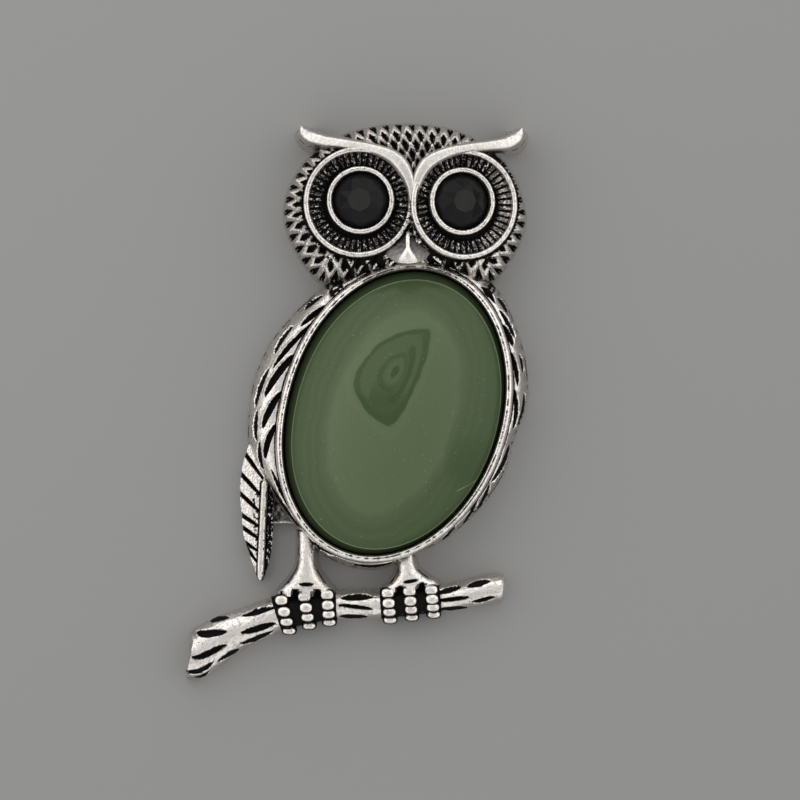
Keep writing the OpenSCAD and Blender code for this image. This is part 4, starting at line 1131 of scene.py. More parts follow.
def on_branch(s, x, across):
    """Plan point on the branch at an x, and across it from -1 to 1."""
    path = branch_path(s)
    columns = np.column_stack([path, left_of(path)]).T
    at_x, at_y, half, left_x, left_y = (np.interp(x, path[:, 0], column) for column in columns)
    return np.array([at_x + left_x * half * across, at_y + left_y * half * across])


def make_branch(s):
    """Branch: a rounded section carried along its path, with cuts in the bark."""
    path = branch_path(s)
    left = left_of(path)
    share = (path[:, 0] / s.branch_l - BRANCH_LEFT)[:, None]
    turn, across = (row[None] for row in arch(57, 0.9))
    level = np.abs(np.sin(turn)) ** 0.75
    ends = np.clip(np.minimum((share + 0.002) / 0.006, (1.003 - share) / 0.012), 0.02, 1) ** 0.5
    half = path[:, 2:3] * across
    z = s.branch_h * level * (0.72 + 0.28 * ends)
    top = np.dstack([path[:, :1] + left[:, :1] * half, path[:, 1:2] + left[:, 1:] * half, z])
    skew = (1 - step(0.0, 0.11, share)) * (0.10 - across) * s.branch_t * 0.32
    way = np.column_stack([left[:, 1], -left[:, 0]])[:, None]
    top[..., :2] -= way * np.maximum(skew, -0.5)[..., None]
    under = (top[:, ::-8] * [1, 1, 0])[:, 1:-1]
    grid = np.concatenate([top, under], axis=1)
    height = np.zeros(top.shape[:2])
    recess = np.zeros(top.shape[:2])
    for a0, a1, c0, c1, half_w in BARK:
        along = (share - a0) / (a1 - a0)
        offset = (across - (c0 + (c1 - c0) * along)) * path[:, 2:3]
        cut = lens(along, offset, half_w * s.branch_t, 1.0, 1.0)
        shallow = 1 - 0.6 * step(0.4, 0.8, abs(c0 + c1) / 2)
        height, recess = cut_in(height, recess, cut, s.cut_d * shallow, BARK_LIP_H)
    grain = noise(share * s.branch_l * 0.35, across * path[:, 2:3], 0.14, 83)
    height = height + BARK_GRAIN * grain
    recess = np.maximum(recess, 0.42 * step(0.40, 0.75, grain))
    for _, foot_share in LEGS.values():
        gap = np.abs(path[:, :1] - foot_share * s.branch_l) - s.toe_step - s.toe_w * 0.56
        shade = 0.80 + 0.20 * noise(path[:, :1], across * 2, 0.4, 101)
        recess = np.maximum(recess, shade * (1 - step(0.02, 0.12, gap)))
    height = np.concatenate([height, np.zeros(under.shape[:2])], axis=1)
    recess = np.concatenate([recess, np.full(under.shape[:2], 0.3)], axis=1)
    grid = raised_out(grid, height)
    grid[..., 2] = np.maximum(grid[..., 2], 0)
    cast_piece("branch", shell(grid, recess))


def raised_out(grid, height):
    """As raised, with the direction chosen away from each row's middle."""
    out = normals(grid)
    away = grid - grid.mean(1, keepdims=True)
    sign = np.sign(np.einsum("ijk,ijk->", out, away))
    return grid + out * sign * height[..., None]


def pillow(centre, half_x, half_y, low, top, cols=32, rows=12):
    """Closed rounded block: an upright side under a quarter ellipse, on a squarish outline."""
    turn = even_turn(cols)[None]
    rise = np.radians(np.linspace(88, 0, rows))[:, None]
    share = np.vstack([np.cos(rise) ** 0.78, [[1.0]]])
    z = np.vstack([top - half_x * 0.80 * (1 - np.sin(rise)), [[low]]])
    square = (np.abs(np.cos(turn)) ** 2.5 + np.abs(np.sin(turn)) ** 2.5) ** (-1 / 2.5)
    x = centre[0] + half_x * share * np.cos(turn) * square
    y = centre[1] + half_y * share * np.sin(turn) * square
    grid = np.dstack([x, y, z * np.ones_like(x)])
    # Painted shade darkens each bead from a little out of its middle to its edge
    recess = np.broadcast_to(step(0.62, 0.96, share), x.shape)
    return shell(grid, recess)


def leg_shell(s, name, foot_x):
    """A leg that flares into a foot, with a slot above its toes and notches between them."""
    ankle_x = LEGS[name][0] * s.branch_l
    ankle_y = body_point(s, np.degrees(np.arctan2(-s.bezel_top, ankle_x)), 0.2)[1]
    top = np.array([ankle_x, ankle_y + s.leg_w * 0.67])
    end = np.array([foot_x, on_branch(s, foot_x, 0)[1] + s.branch_t * 0.42])
    spread = s.leg_h * s.slope * 0.6
    rows = np.column_stack([
        top + (end - top) * LEG[:, :1], s.leg_w / 2 * LEG[:, 1] + spread, s.leg_h * LEG[:, 2]])
    path = curve(rows, 90)
    path = np.column_stack([path, np.full(len(path), FOOT_Z)])
    turn, side = arch(33, 0.85)
    grid = ribbon(path, np.column_stack([side, 0.35 + 0.65 * np.sin(turn) ** 0.62]), s.slope, 4)
    column = columns_of(grid)[None]
    half_cols = grid.shape[1] / 2
    share = np.linspace(0, 1, len(path))[:, None]
    slot_x = (grid[..., 0] - foot_x) / (s.leg_w * 0.5)
    slot_y = (share - 0.81) * np.linalg.norm(end - top) / 0.22
    slot = 1 - step(0.55, 1.05, np.hypot(slot_x, slot_y))
    slot = slot * (np.abs(column) < half_cols - 6)
    grid[..., 2] -= s.cut_d * slot
    lines = bump(np.abs(column) - (half_cols - 10.5), 1.6)
    lines = lines * step(-0.3, 0.2, noise(share * 9, column * 0.2, 0.5, 97))
    grid[..., 2] -= LEG_LINE_D * lines
    # Painted shade darkens the leg's lowest side rows a little
    sides = 0.3 * step(half_cols - 5, half_cols - 2, np.abs(column))
    recess = np.maximum(slot, np.maximum(0.8 * lines, sides))
    for between_toes in (-0.5, 0.5):
        gap = np.abs(grid[..., 0] - foot_x - between_toes * s.toe_step) / (s.toe_step - s.toe_w)
        notch = 1 - step(0.35, 0.60, gap + 0.5 * (1 - step(0.86, 0.93, share)))
        notch = notch * step(0.84, 0.90, share)
        grid[..., 2] -= TOE_NOTCH_D * notch
        recess = np.maximum(recess, notch)
    return shell(grid, recess)


def make_foot(s, name):
    """A leg and its foot, with three toes of rounded beads gripping the branch."""
    foot_x = LEGS[name][1] * s.branch_l
    shells = [leg_shell(s, name, foot_x)]
    for toe in range(TOES):
        toe_x = foot_x + (toe - (TOES - 1) / 2) * s.toe_step
        for across, height, half_l in BEADS:
            half_y = s.branch_t * half_l * 1.16
            top = height * s.branch_h + BEAD_RISE
            middle = on_branch(s, toe_x, across)
            shells.append(pillow(middle, s.toe_w * 0.54, half_y, s.edge_h * 0.4, top))
    cast_piece("foot_" + name, *shells)


# Stone

def make_cabochon(s):
    """Oval stone: a dome cut from a sphere over a bevel and an upright side, turned round and
    squashed into an oval. The dome is ground slightly off the foot's middle. The recess value is
    1 on the line round the dome, which takes a painted highlight, and -1 below it, which takes
    painted shade."""
    a = s.stone_l / 2
    dome_a = a - s.stone_bevel_w
    foot = s.stone_side + s.stone_bevel
    dome_h = s.stone_h - foot
    ball = (dome_a ** 2 + dome_h ** 2) / (2 * dome_h)
    line = np.arcsin((dome_a - np.array([0.12, 0.08, 0.03, 0.0])) / ball)
    bow = np.r_[np.linspace(0.02, line[0] - 0.006, 56), line]
    dome = np.column_stack([ball * np.sin(bow), s.stone_h - ball * (1 - np.cos(bow))])
    dome[-3:-1, 1] += 0.03
    rest = curve(np.array([
        [dome_a, foot], [a - 0.16, s.stone_side + 0.16], [a, s.stone_side - 0.15], [a, 0.3]]), 14)[1:]
    profile = np.vstack([dome, rest, [[a * 0.985, 0.0], [a * 0.5, 0.0], [a * 0.03, 0.0]]])
    turn = even_turn(STONE_AROUND)[None]
    oval = s.stone_w / s.stone_l
    x, y = profile[:, :1] * np.cos(turn), profile[:, :1] * np.sin(turn) * oval
    t = radians(s.stone_turn)
    off = np.r_[np.ones(len(dome)), np.linspace(0.93, 0, len(rest)), np.zeros(3)][:, None] ** 1.5
    z = np.broadcast_to(profile[:, 1:] + s.seat_z + s.stone_gap, x.shape)
    x, y = x * np.cos(t) - y * np.sin(t), x * np.sin(t) + y * np.cos(t)
    flat = flat_left(np.degrees(np.arctan2(y, x)))
    grid = np.dstack([x * flat + DOME_OFF[0] * off, y * flat + DOME_OFF[1] * off, z])
    # 1 marks the line round the dome for its painted highlight; the bevel and the side below it take
    # painted shade
    edge = np.r_[np.zeros(len(dome) - 3), 1.0, 1.0, -0.2, np.full(len(rest) + 3, -1.0)]
    edge = edge[:, None] * np.ones_like(turn)
    make_piece("cabochon", [shell(grid, edge)], stone_finish(), "green_cabochon", 60)


# Finishes

# Silver: unevenness of the patina's edge, and how much the raised metal is specked
SILVERS = {"antique_silver": (0.55, 0.85), "even_silver": (0.12, 0.4)}
# Linear colours that a soft noise mixes: the pin's steel, and the eye stones' facets and tables, the
# tables' lighter colour being a painted reflection
STEEL = ((0.60, 0.60, 0.60), (0.50, 0.50, 0.51))
FACETS = ((0.006, 0.006, 0.006), (0.010, 0.010, 0.010))
TABLE_WITH_PAINTED_REFLECTION = ((0.018, 0.018, 0.017), (0.027, 0.027, 0.026))
# Cosine between a facet and the eye stone's axis where the table starts and is full
TABLE_FROM, TABLE_FULL = 0.984, 0.996
# Index of refraction of the glass and the stone
GLOSS_IOR = 1.5


def join(tree, made, inputs):
    """Joins each named input of a node to an output, or sets it to a value."""
    for key, value in dict(inputs).items():
        if isinstance(value, bpy.types.NodeSocket):
            tree.links.new(value, made.inputs[key])
        else:
            made.inputs[key].default_value = value


def node(tree, kind, inputs=(), **settings):
    """A node with its settings, each named input set to a value or joined to an output."""
    made = tree.nodes.new(kind)
    for key, value in settings.items():
        setattr(made, key, value)
    join(tree, made, inputs)
    return made


def maths(tree, operation, *values):
    """The output of a Math node over values or outputs."""
    return node(tree, "ShaderNodeMath", enumerate(values), operation=operation).outputs[0]


def product(tree, *values):
    """The product of two values or outputs."""
    return maths(tree, "MULTIPLY", *values)


def vector_maths(tree, operation, a, b):
    """The output of a Vector Math node: a number for a distance or a dot product."""
    made = node(tree, "ShaderNodeVectorMath", {0: a, 1: b}, operation=operation)
    return made.outputs["Value" if operation in ("DISTANCE", "DOT_PRODUCT") else "Vector"]


def fade(tree, value, low, high, start=0.0, end=1.0):
    """A value carried smoothly from low and high to start and end."""
    settings = {"Value": value, "From Min": low, "From Max": high, "To Min": start, "To Max": end}
    return node(tree, "ShaderNodeMapRange", settings, interpolation_type="SMOOTHSTEP").outputs[0]


def mixed(tree, share, a, b):
    """Two colours, each an output or three numbers, mixed by a share."""
    a, b = (c if isinstance(c, bpy.types.NodeSocket) else (*c, 1.0) for c in (a, b))
    return node(tree, "ShaderNodeMix", {0: share, 6: a, 7: b}, data_type="RGBA").outputs[2]


def shaded(colour_value, share):
    """A colour times a share."""
    return [channel * share for channel in colour_value]


def noise_at(tree, vector, scale, detail=2.0, rough=0.5):
    """Noise on coordinates in metres, with its scale in cells a metre."""
    settings = {"Vector": vector, "Scale": scale, "Detail": detail, "Roughness": rough}
    return node(tree, "ShaderNodeTexNoise", settings).outputs[0]


def recess_of(tree):
    """The recess value that each point of a piece carries: it sets the patina, and where a piece gives it
    to places in shade it paints shade; on the stone it marks a painted highlight and painted shade.
    """
    return node(tree, "ShaderNodeAttribute", attribute_name="recess").outputs["Fac"]


def once(store, name, make):
    """The data block of a name, made the first time that it is asked for."""
    return store[name] if name in store else make(name)


def new_group(name, inputs, outputs):
    """A shader node group of numbers, where an input named Vector is a vector."""
    group = bpy.data.node_groups.new(name, "ShaderNodeTree")
    for label in inputs:
        kind = "NodeSocketVector" if label == "Vector" else "NodeSocketFloat"
        group.interface.new_socket(label, in_out="INPUT", socket_type=kind)
    for label in outputs:
        group.interface.new_socket(label, in_out="OUTPUT", socket_type="NodeSocketFloat")
    return group, group.nodes.new("NodeGroupInput").outputs, group.nodes.new("NodeGroupOutput")


def patina_and_shade_group(name):
    """Patina mask: deep recesses are fully black, and a fine noise breaks its edge and leaves
    specks on the raised metal. Middling recess values given to shaded places paint shade."""
    group, given, result = new_group(name, ["Vector", "Recess", "Uneven", "Specks"], ["Mask"])
    coarse = noise_at(group, given["Vector"], 2600.0, 3.0)
    fine = noise_at(group, given["Vector"], 9000.0)
    edge = product(group, maths(group, "SUBTRACT", coarse, 0.5), given["Uneven"])
    deep = fade(group, maths(group, "ADD", given["Recess"], edge), 0.30, 0.62)
    specks = fade(group, maths(group, "ADD", fine, product(group, coarse, 0.25)), 0.70, 0.80)
    specks = product(group, specks, given["Specks"])
    join(group, result, {"Mask": maths(group, "MAXIMUM", deep, specks)})
    return group


def wear_group(name):
    """Wear height: fine scratches from stretched noise in two directions, a grain and soft dents."""
    group, given, result = new_group(name, ["Vector"], ["Height", "Cloud"])
    lines = []
    for angle in (0.5, 2.1):
        stretch = {"Vector": given["Vector"], "Rotation": (0, 0, angle), "Scale": (1.0, 0.06, 1.0)}
        lines.append(noise_at(group, node(group, "ShaderNodeMapping", stretch).outputs[0], 11000.0))
    grain = noise_at(group, given["Vector"], 7000.0, 3.0, 0.6)
    dents = noise_at(group, given["Vector"], 2100.0, 2.0, 0.6)
    grain = maths(group, "ADD", grain, product(group, dents, 2.2))
    both = product(group, maths(group, "ADD", *lines), 0.35)
    height = maths(group, "ADD", both, grain)
    join(group, result, {"Height": height, "Cloud": noise_at(group, given["Vector"], 420.0)})
    return group


def new_material(name):
    """An empty node material, its tree, its Principled shader and its coordinates."""
    material = bpy.data.materials.new(name)
    material.use_nodes = True
    tree = material.node_tree
    tree.nodes.clear()
    shader = tree.nodes.new("ShaderNodeBsdfPrincipled")
    node(tree, "ShaderNodeOutputMaterial", {0: shader.outputs[0]})
    return material, tree, shader, tree.nodes.new("ShaderNodeTexCoord").outputs


def worn(tree, shader, where, strength, distance):
    """Gives the shader the wear's relief, and returns the wear's soft cloud."""
    group = once(bpy.data.node_groups, "Owl wear", wear_group)
    wear = node(tree, "ShaderNodeGroup", {"Vector": where}, node_tree=group).outputs
    relief = {"Height": wear["Height"], "Strength": strength, "Distance": distance}
    join(tree, shader, {"Normal": node(tree, "ShaderNodeBump", relief).outputs[0]})
    return wear["Cloud"]


def silver_finish(name):
    """Antique silver plate: bright on raised places and black in the recesses. The patina's edge is
    more or less uneven, and its specks lie on the raised metal."""
    uneven, specks = SILVERS[name]
    finish = bpy.context.scene.owl_finish
    material, tree, shader, at = new_material(name)
    cloud = worn(tree, shader, at["Object"], 0.5, 0.00006)
    patina = {"Vector": at["Object"], "Recess": recess_of(tree), "Uneven": uneven, "Specks": specks}
    group = once(bpy.data.node_groups, "Owl patina", patina_and_shade_group)
    mask = node(tree, "ShaderNodeGroup", patina, node_tree=group).outputs["Mask"]
    bright = mixed(tree, fade(tree, cloud, 0.35, 0.65), finish.silver, shaded(finish.silver, 0.93))
    uneven_gloss = product(tree, maths(tree, "SUBTRACT", cloud, 0.5), 0.12)
    join(tree, shader, {
        "Base Color": mixed(tree, mask, bright, finish.patina),
        "Roughness": maths(tree, "ADD", fade(tree, mask, 0.0, 1.0, 0.24, 0.55), uneven_gloss),
        "Metallic": fade(tree, mask, 0.0, 1.0, 1.0, 0.05),
        "Specular IOR Level": fade(tree, mask, 0.0, 1.0, 0.5, 0.03),
    })
    return material


def steel_finish():
    """Plain bright steel of the pin, with fine drawn scratches."""
    material, tree, shader, at = new_material("pin_steel")
    cloud = worn(tree, shader, at["Object"], 0.3, 0.00003)
    join(tree, shader, {"Base Color": mixed(tree, cloud, *STEEL), "Metallic": 1.0,
                        "Roughness": fade(tree, cloud, 0.2, 0.8, 0.26, 0.40)})
    return material


def glass_finish(s, eye):
    """Opaque black glass of an eye stone: a cloudier table, square to the stone's leaning axis, painted
    lighter as a painted reflection, and deep black facets."""
    material, tree, shader, at = new_material("black_glass_" + eye)
    bloom = noise_at(tree, at["Object"], 900.0, 3.0)
    # The table, square to the eye's axis, takes a lighter colour: a painted reflection
    level = vector_maths(tree, "DOT_PRODUCT", at["Normal"], tuple(eye_frame(s, eye)[3]))
    table = fade(tree, level, TABLE_FROM, TABLE_FULL)
    join(tree, shader, {
        "Base Color": mixed(tree, table, mixed(tree, bloom, *FACETS), mixed(tree, bloom, *TABLE_WITH_PAINTED_REFLECTION)),
        "Roughness": fade(tree, bloom, 0.3, 0.7, 0.04, 0.12),
        "Specular IOR Level": 0.09,
        "IOR": GLOSS_IOR,
    })
    return material


# Tones of the teardrop's bands, a painted reflection of the camera, on its left and right, from its middle
# outwards
#   distance as a share of its outline, tone from dark 0 to light 1
DROP_LEFT = [
    (0.00, 0.08), (0.10, 0.10), (0.16, 0.60), (0.26, 0.56), (0.33, 0.24), (0.42, 0.22), (0.47, 0.52),
    (0.84, 0.46), (0.92, 0.12), (0.98, 0.12), (1.06, 0.96), (1.20, 1.00), (1.30, 0.92),
]
DROP_RIGHT = [
    (0.00, 0.08), (0.10, 0.10), (0.16, 0.60), (0.28, 0.54), (0.36, 0.26), (0.44, 0.34), (0.52, 0.12),
    (0.64, 0.14), (0.70, 0.50), (0.80, 0.46), (0.88, 0.12), (0.98, 0.12), (1.06, 0.96), (1.20, 1.00),
    (1.30, 0.92),
]
DROP_REACH = 1.4
# The same for the broad pale zone, a painted reflection of the light tent
ZONE_BANDS = [
    (0.0, 0.93), (0.86, 0.95), (0.97, 0.58), (1.06, 0.40), (1.12, 0.48), (1.17, 0.36), (1.23, 0.43),
    (1.30, 0.30), (1.60, 0.28),
]
ZONE_REACH = 1.7
# Axes on the stone, the hairline's square to it
#   x and y of the centre in mm from the stone's, lean to the right in degrees
DROP_AXIS = ((1.36, 3.73), 24.4)
ZONE_AXIS = ((0.05, 0.0), 17)
HAIR_AXIS = ((8.35, -7.2), -28)
# Half lengths and half width in mm, and how far the teardrop's axis bows out in its middle
DROP_HALF_L = 5.18
DROP_BOW = 1.27
ZONE_HALF_L = 11.8
ZONE_HALF_W = 6.9
# Middle of the dark patch at the lower right, where the painted reflection is dimmer
PATCH = (7.7, -5.1, 5.0)
# How far the slow warp of the painted reflections moves them, in mm for the noise's full range
WARP = 1.1
# Linear colour of painted shade on the stone below its bevel
FOOT_PAINTED_SHADE = (0.016, 0.018, 0.013)


def along_axis(tree, moved, centre, lean):
    """Distances in mm to the right of and up an axis through a centre."""
    own = vector_maths(tree, "SUBTRACT", moved, (*centre, 0))
    turned = {"Vector": own, "Angle": radians(lean)}
    own = node(tree, "ShaderNodeVectorRotate", turned, rotation_type="Z_AXIS").outputs[0]
    return node(tree, "ShaderNodeSeparateXYZ", {0: own}).outputs[:2]


def norm_of(tree, a, b, power):
    """(|a|^power + |b|^power)^(1 / power)."""
    powers = [maths(tree, "POWER", maths(tree, "ABSOLUTE", value), power) for value in (a, b)]
    return maths(tree, "POWER", maths(tree, "ADD", *powers), maths(tree, "DIVIDE", 1.0, power))


def bands(tree, distance, stops, reach):
    """Tone at a distance, read from a table of stops as far as its reach."""
    made = node(tree, "ShaderNodeValToRGB", {"Fac": maths(tree, "DIVIDE", distance, reach)})
    ramp = made.color_ramp
    ramp.interpolation = "EASE"
    while len(ramp.elements) < len(stops):
        ramp.elements.new(0.5)
    for element, (place, level) in zip(ramp.elements, stops):
        element.position = place / reach
        element.color = (level, level, level, 1)
    return made.outputs[0]


def teardrop_reflection_tone(tree, moved):
    """Tone of the teardrop, a painted reflection of the camera, and nearly 1 around it.

    Its axis is a parabola bowed to the left, and its outline a norm whose half width and power change
    from the foot up. Its foot is dark but for a light crescent on the left."""
    right, up = along_axis(tree, moved, *DROP_AXIS)
    up = maths(tree, "DIVIDE", up, DROP_HALF_L)
    bow = product(tree, maths(tree, "SUBTRACT", 1.0, product(tree, up, up)), DROP_BOW)
    left = maths(tree, "SUBTRACT", product(tree, right, -1.0), bow)
    half_w = fade(tree, left, -0.5, 0.5, 2.55, fade(tree, up, -0.85, 0.1, 4.8, 3.25))
    left = maths(tree, "DIVIDE", left, half_w)
    reach = norm_of(tree, up, left, fade(tree, up, -0.5, 0.45, 1.95, 1.5))
    right_bands = bands(tree, reach, DROP_RIGHT, DROP_REACH)
    left_bands = bands(tree, reach, DROP_LEFT, DROP_REACH)
    drop = mixed(tree, fade(tree, left, -0.12, 0.12), right_bands, left_bands)
    crescent = product(tree, fade(tree, left, 0.34, 0.46), fade(tree, up, -0.85, -0.62))
    body = maths(tree, "MAXIMUM", crescent, fade(tree, up, -0.60, -0.15, 0.36, 1.0))
    return product(tree, drop, mixed(tree, fade(tree, reach, 0.98, 1.05), body, (1, 1, 1)))


def tent_reflection_tone(tree, moved):
    """Tone of the broad pale zone, a painted reflection of the light tent, dimmer to the right and in the
    dark patch.
    """
    right, up = along_axis(tree, moved, *ZONE_AXIS)
    across = maths(tree, "DIVIDE", right, ZONE_HALF_W)
    distance = norm_of(tree, across, maths(tree, "DIVIDE", up, ZONE_HALF_L), 2.0)
    zone = bands(tree, distance, ZONE_BANDS, ZONE_REACH)
    zone = product(tree, zone, fade(tree, right, -8.0, 8.0, 1.05, 0.80))
    patch = fade(tree, vector_maths(tree, "DISTANCE", moved, PATCH), 1.0, 3.6, 0.35, 1.0)
    return product(tree, zone, patch)


def hairline(tree, moved):
    """Mask of a hairline scratch: 0.5 along its middle, and 0 beside it and past its ends."""
    along, across = along_axis(tree, moved, *HAIR_AXIS)
    thin = fade(tree, maths(tree, "ABSOLUTE", across), 0.02, 0.05, 0.5, 0.0)
    return product(tree, thin, fade(tree, maths(tree, "ABSOLUTE", along), 1.6, 2.6, 1.0, 0.0))


def stone_finish():
    """Green stone with painted light over its own dark green: a teardrop of bands above its middle, a
    painted reflection of the camera; a broad pale zone inside a darker rim, a painted reflection of the
    light tent; a pale line round the dome, a painted highlight; a foot in painted shade; and fine specks
    and a hairline scratch."""
    finish = bpy.context.scene.owl_finish
    material, tree, shader, at = new_material("banded_stone")
    where = at["Object"]
    to_mm = {"Vector": where, "Location": tuple(-MIDDLE / MM), "Scale": (1 / MM, 1 / MM, 1 / MM)}
    local = node(tree, "ShaderNodeMapping", to_mm).outputs[0]
    warp = node(tree, "ShaderNodeTexNoise", {"Vector": local, "Scale": 0.28, "Detail": 2.0})
    wander = vector_maths(tree, "SUBTRACT", warp.outputs["Color"], (0.5, 0.5, 0.5))
    moved = vector_maths(tree, "ADD", local, vector_maths(tree, "MULTIPLY", wander, (WARP, WARP, 0)))
    # Painted reflections: the teardrop of the camera and the broad pale zone of the light tent lift the
    # stone's own dark green towards the lighter colour
    tone = product(tree, teardrop_reflection_tone(tree, moved), tent_reflection_tone(tree, moved))
    base = mixed(tree, tone, finish.stone_dark, finish.stone_light)
    specks = fade(tree, noise_at(tree, where, 3600.0, 1.0), 0.70, 0.78)
    edge = recess_of(tree)
    # Pale specks and the hairline scratch are the stone's own; the pale line round the dome is a painted
    # highlight
    for mask in (product(tree, specks, 0.25), hairline(tree, moved), fade(tree, edge, 0.0, 1.0, 0.0, 0.55)):
        base = mixed(tree, mask, base, finish.pale_marks_and_girdle_highlight)
    join(tree, shader, {
        # Painted shade darkens the bevel and the stone's side below it
        "Base Color": mixed(tree, fade(tree, edge, -0.9, 0.0, 0.25, 0.0), base, FOOT_PAINTED_SHADE),
        "Roughness": fade(tree, noise_at(tree, where, 500.0), 0.3, 0.7, 0.08, 0.16),
        "Specular IOR Level": 0.18,
        "IOR": GLOSS_IOR,
    })
    return material


def floor_finish():
    """Plain grey floor with a barely visible cloud, and painted light that makes it a little lighter
    towards the upper left.
    """
    grey = bpy.context.scene.owl_finish.floor
    material, tree, shader, at = new_material("grey_floor")
    cloud = noise_at(tree, at["Object"], 9.0)
    # Painted light: the colour is lighter towards the upper left and darker towards the lower right
    painted_light_falloff = vector_maths(tree, "DOT_PRODUCT", at["Object"], (0.45, -0.9, 0))
    across = fade(tree, painted_light_falloff, -0.07, 0.07)
    plain = mixed(tree, across, shaded(grey, 1.055), shaded(grey, 0.945))
    cloudy = mixed(tree, across, shaded(grey, 1.04), shaded(grey, 0.93))
    join(tree, shader, {"Base Color": mixed(tree, cloud, cloudy, plain), "Roughness": 0.9})
    return material


# Stage

# Camera: lens and sensor in mm, and in metres the width and middle of its view at the focus height
CAMERA_LENS = 150.0
CAMERA_SENSOR = 36.0
FRAME_WIDTH = 0.0828
FRAME_MIDDLE = (0.004185, -0.000072)
FOCUS_Z = 0.003
# Brightness of the light tent's sides and of its opening overhead, and its colour
TENT = 1.55
OVERHEAD = 0.73
TENT_COLOUR = (1.0, 0.995, 0.985, 1)
# Soft lamp: place and size in metres, turn in degrees, and power in watts
LAMP_PLACE = (-0.28, 0.36, 0.46)
LAMP_TURN = (-38, -25, 0)
LAMP_SIZE = 0.45
LAMP_POWER = 0.2
# Half width of the floor in metres
FLOOR_HALF = 1.5


def make_world():
    """A white light tent with a darker opening overhead, dimmer below the feet, and falling to
    the floor's grey at the horizon."""
    world = bpy.data.worlds.new("light_tent")
    bpy.context.scene.world = world
    world.use_nodes = True
    tree = world.node_tree
    tree.nodes.clear()
    direction = tree.nodes.new("ShaderNodeTexCoord").outputs["Generated"]
    _, north, up = node(tree, "ShaderNodeSeparateXYZ", {0: direction}).outputs
    level = product(tree, fade(tree, up, 0.0, 0.16, 0.40, 1.0), fade(tree, north, -0.80, 0.20, 0.68, 1.0))
    level = product(tree, level, fade(tree, up, 0.60, 0.985, TENT, OVERHEAD))
    back = node(tree, "ShaderNodeBackground", {"Color": TENT_COLOUR, "Strength": level})
    node(tree, "ShaderNodeOutputWorld", {0: back.outputs[0]})


def make_stage():
    """Grey floor, a light tent, a soft lamp from the upper left, and the camera overhead."""
    make_world()
    corners = [(x * FLOOR_HALF, y * FLOOR_HALF, 0) for x, y in ((-1, -1), (1, -1), (1, 1), (-1, 1))]
    mesh = bpy.data.meshes.new("floor")
    mesh.from_pydata(corners, [], [(0, 1, 2, 3)])
    mesh.materials.append(floor_finish())
    add_object("floor", mesh)

    lamp = bpy.data.lights.new("soft_lamp", "AREA")
    lamp.size = LAMP_SIZE
    lamp.energy = LAMP_POWER
    lamp_object = add_object("soft_lamp", lamp)
    lamp_object.location = LAMP_PLACE
    lamp_object.rotation_euler = [radians(angle) for angle in LAMP_TURN]
    lamp_object.visible_glossy = False

    camera = bpy.data.cameras.new("camera")
    camera.lens = CAMERA_LENS
    camera.sensor_width = CAMERA_SENSOR
    camera_object = add_object("camera", camera)
    camera_object.location = (*FRAME_MIDDLE, FOCUS_Z + FRAME_WIDTH * CAMERA_LENS / CAMERA_SENSOR)
    bpy.context.scene.camera = camera_object
    bpy.context.scene.view_settings.view_transform = "Standard"


# Operators

class OWL_OT_head(bpy.types.Operator):
    """Make the head shell, the brow horns and the beak"""

    bl_idname = "owl.head"
    bl_label = "Head, brows and beak"

    def execute(self, context):
        s = sizes()
        make_head(s)
        for name in BROWS:
            make_brow(s, name)
        make_beak(s)
        return {"FINISHED"}


class OWL_OT_eyes(bpy.types.Operator):
    """Make the ribbed eye discs and rings, and finish the eye stones"""

    bl_idname = "owl.eyes"
    bl_label = "Eyes"

    def execute(self, context):
        s = sizes()
        for eye in EYES:
            make_disc(s, eye)
            make_ring(s, eye)
            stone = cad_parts["eye_stone_" + eye]
            stone.data.materials.clear()
            stone.data.materials.append(glass_finish(s, eye))
        return {"FINISHED"}


class OWL_OT_body(bpy.types.Operator):
    """Make the wing band and the bezel"""

    bl_idname = "owl.body"
    bl_label = "Wing band and bezel"

    def execute(self, context):
        s = sizes()
        make_wing(s)
        make_bezel(s)
        return {"FINISHED"}


class OWL_OT_tail(bpy.types.Operator):
    """Make the tail feather and its web"""

    bl_idname = "owl.tail"
    bl_label = "Tail feather"

    def execute(self, context):
        s = sizes()
        make_vanes(s)
        make_quill(s)
        make_web(s)
        return {"FINISHED"}


class OWL_OT_feet(bpy.types.Operator):
    """Make the branch, the legs and the toes"""

    bl_idname = "owl.feet"
    bl_label = "Branch and feet"

    def execute(self, context):
        s = sizes()
        make_branch(s)
        for name in LEGS:
            make_foot(s, name)
        return {"FINISHED"}


class OWL_OT_stone(bpy.types.Operator):
    """Make the oval stone with its painted reflections"""

    bl_idname = "owl.stone"
    bl_label = "Oval stone"

    def execute(self, context):
        make_cabochon(sizes())
        return {"FINISHED"}


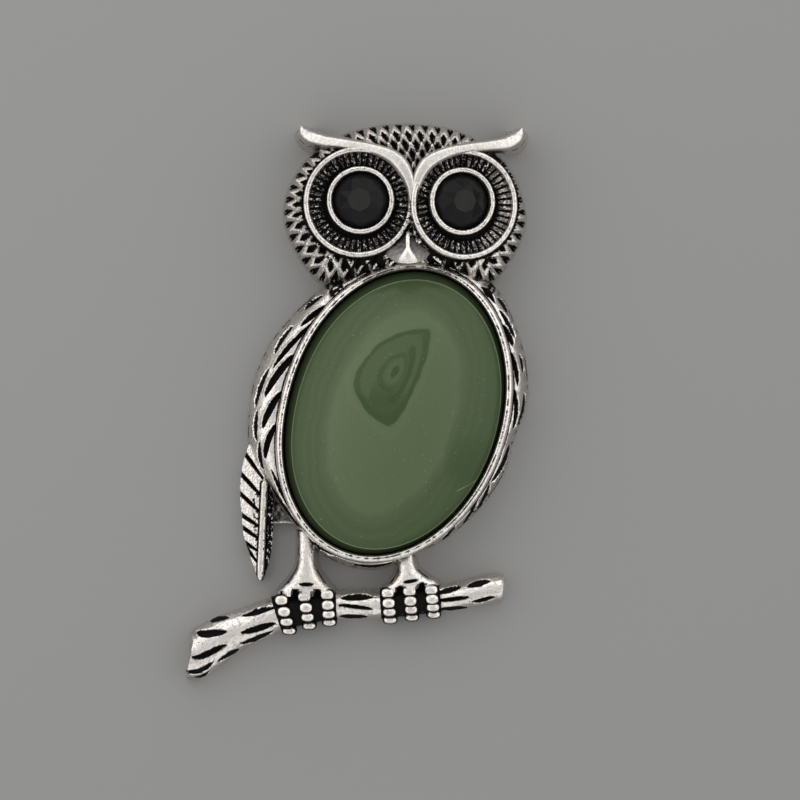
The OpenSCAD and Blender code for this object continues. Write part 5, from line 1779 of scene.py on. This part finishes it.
class OWL_OT_pin(bpy.types.Operator):
    """Finish the steel pin on the back"""

    bl_idname = "owl.pin"
    bl_label = "Pin finish"

    def execute(self, context):
        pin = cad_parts["pin_back"]
        pin.data.materials.clear()
        pin.data.materials.append(steel_finish())
        return {"FINISHED"}


class OWL_OT_stage(bpy.types.Operator):
    """Make the floor, the light and the camera"""

    bl_idname = "owl.stage"
    bl_label = "Stage"

    def execute(self, context):
        make_stage()
        return {"FINISHED"}


OPERATORS = (OWL_OT_head, OWL_OT_eyes, OWL_OT_body, OWL_OT_tail, OWL_OT_feet, OWL_OT_stone,
             OWL_OT_pin, OWL_OT_stage)
GROUPS = {"owl_setting": OwlSetting, "owl_head": OwlHead, "owl_eyes": OwlEyes,
          "owl_tail_and_feet": OwlTailAndFeet, "owl_finish": OwlFinish}


class OWL_PT_panel(bpy.types.Panel):
    """Sizes and steps of the owl brooch"""

    bl_label = "Owl brooch"
    bl_idname = "OWL_PT_panel"
    bl_space_type = "VIEW_3D"
    bl_region_type = "UI"
    bl_category = "Owl brooch"

    def draw(self, context):
        layout = self.layout
        for group_name in GROUPS:
            group = getattr(context.scene, group_name)
            box = layout.box()
            for prop in group.bl_rna.properties:
                if prop.identifier not in ("rna_type", "name"):
                    box.prop(group, prop.identifier)
        for operator in OPERATORS:
            layout.operator(operator.bl_idname)


def register():
    """Registers the settings, the steps and the panel."""
    for group in GROUPS.values():
        bpy.utils.register_class(group)
    for name, group in GROUPS.items():
        setattr(bpy.types.Scene, name, PointerProperty(type=group))
    for cls in (*OPERATORS, OWL_PT_panel):
        bpy.utils.register_class(cls)


def unregister():
    """Takes away what register added."""
    for cls in (OWL_PT_panel, *reversed(OPERATORS)):
        bpy.utils.unregister_class(cls)
    for name, group in GROUPS.items():
        delattr(bpy.types.Scene, name)
        bpy.utils.unregister_class(group)


def main():
    """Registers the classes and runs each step."""
    register()
    bpy.ops.owl.head()
    bpy.ops.owl.eyes()
    bpy.ops.owl.body()
    bpy.ops.owl.tail()
    bpy.ops.owl.feet()
    bpy.ops.owl.stone()
    bpy.ops.owl.pin()
    bpy.ops.owl.stage()


if __name__ == "__main__":
    main()
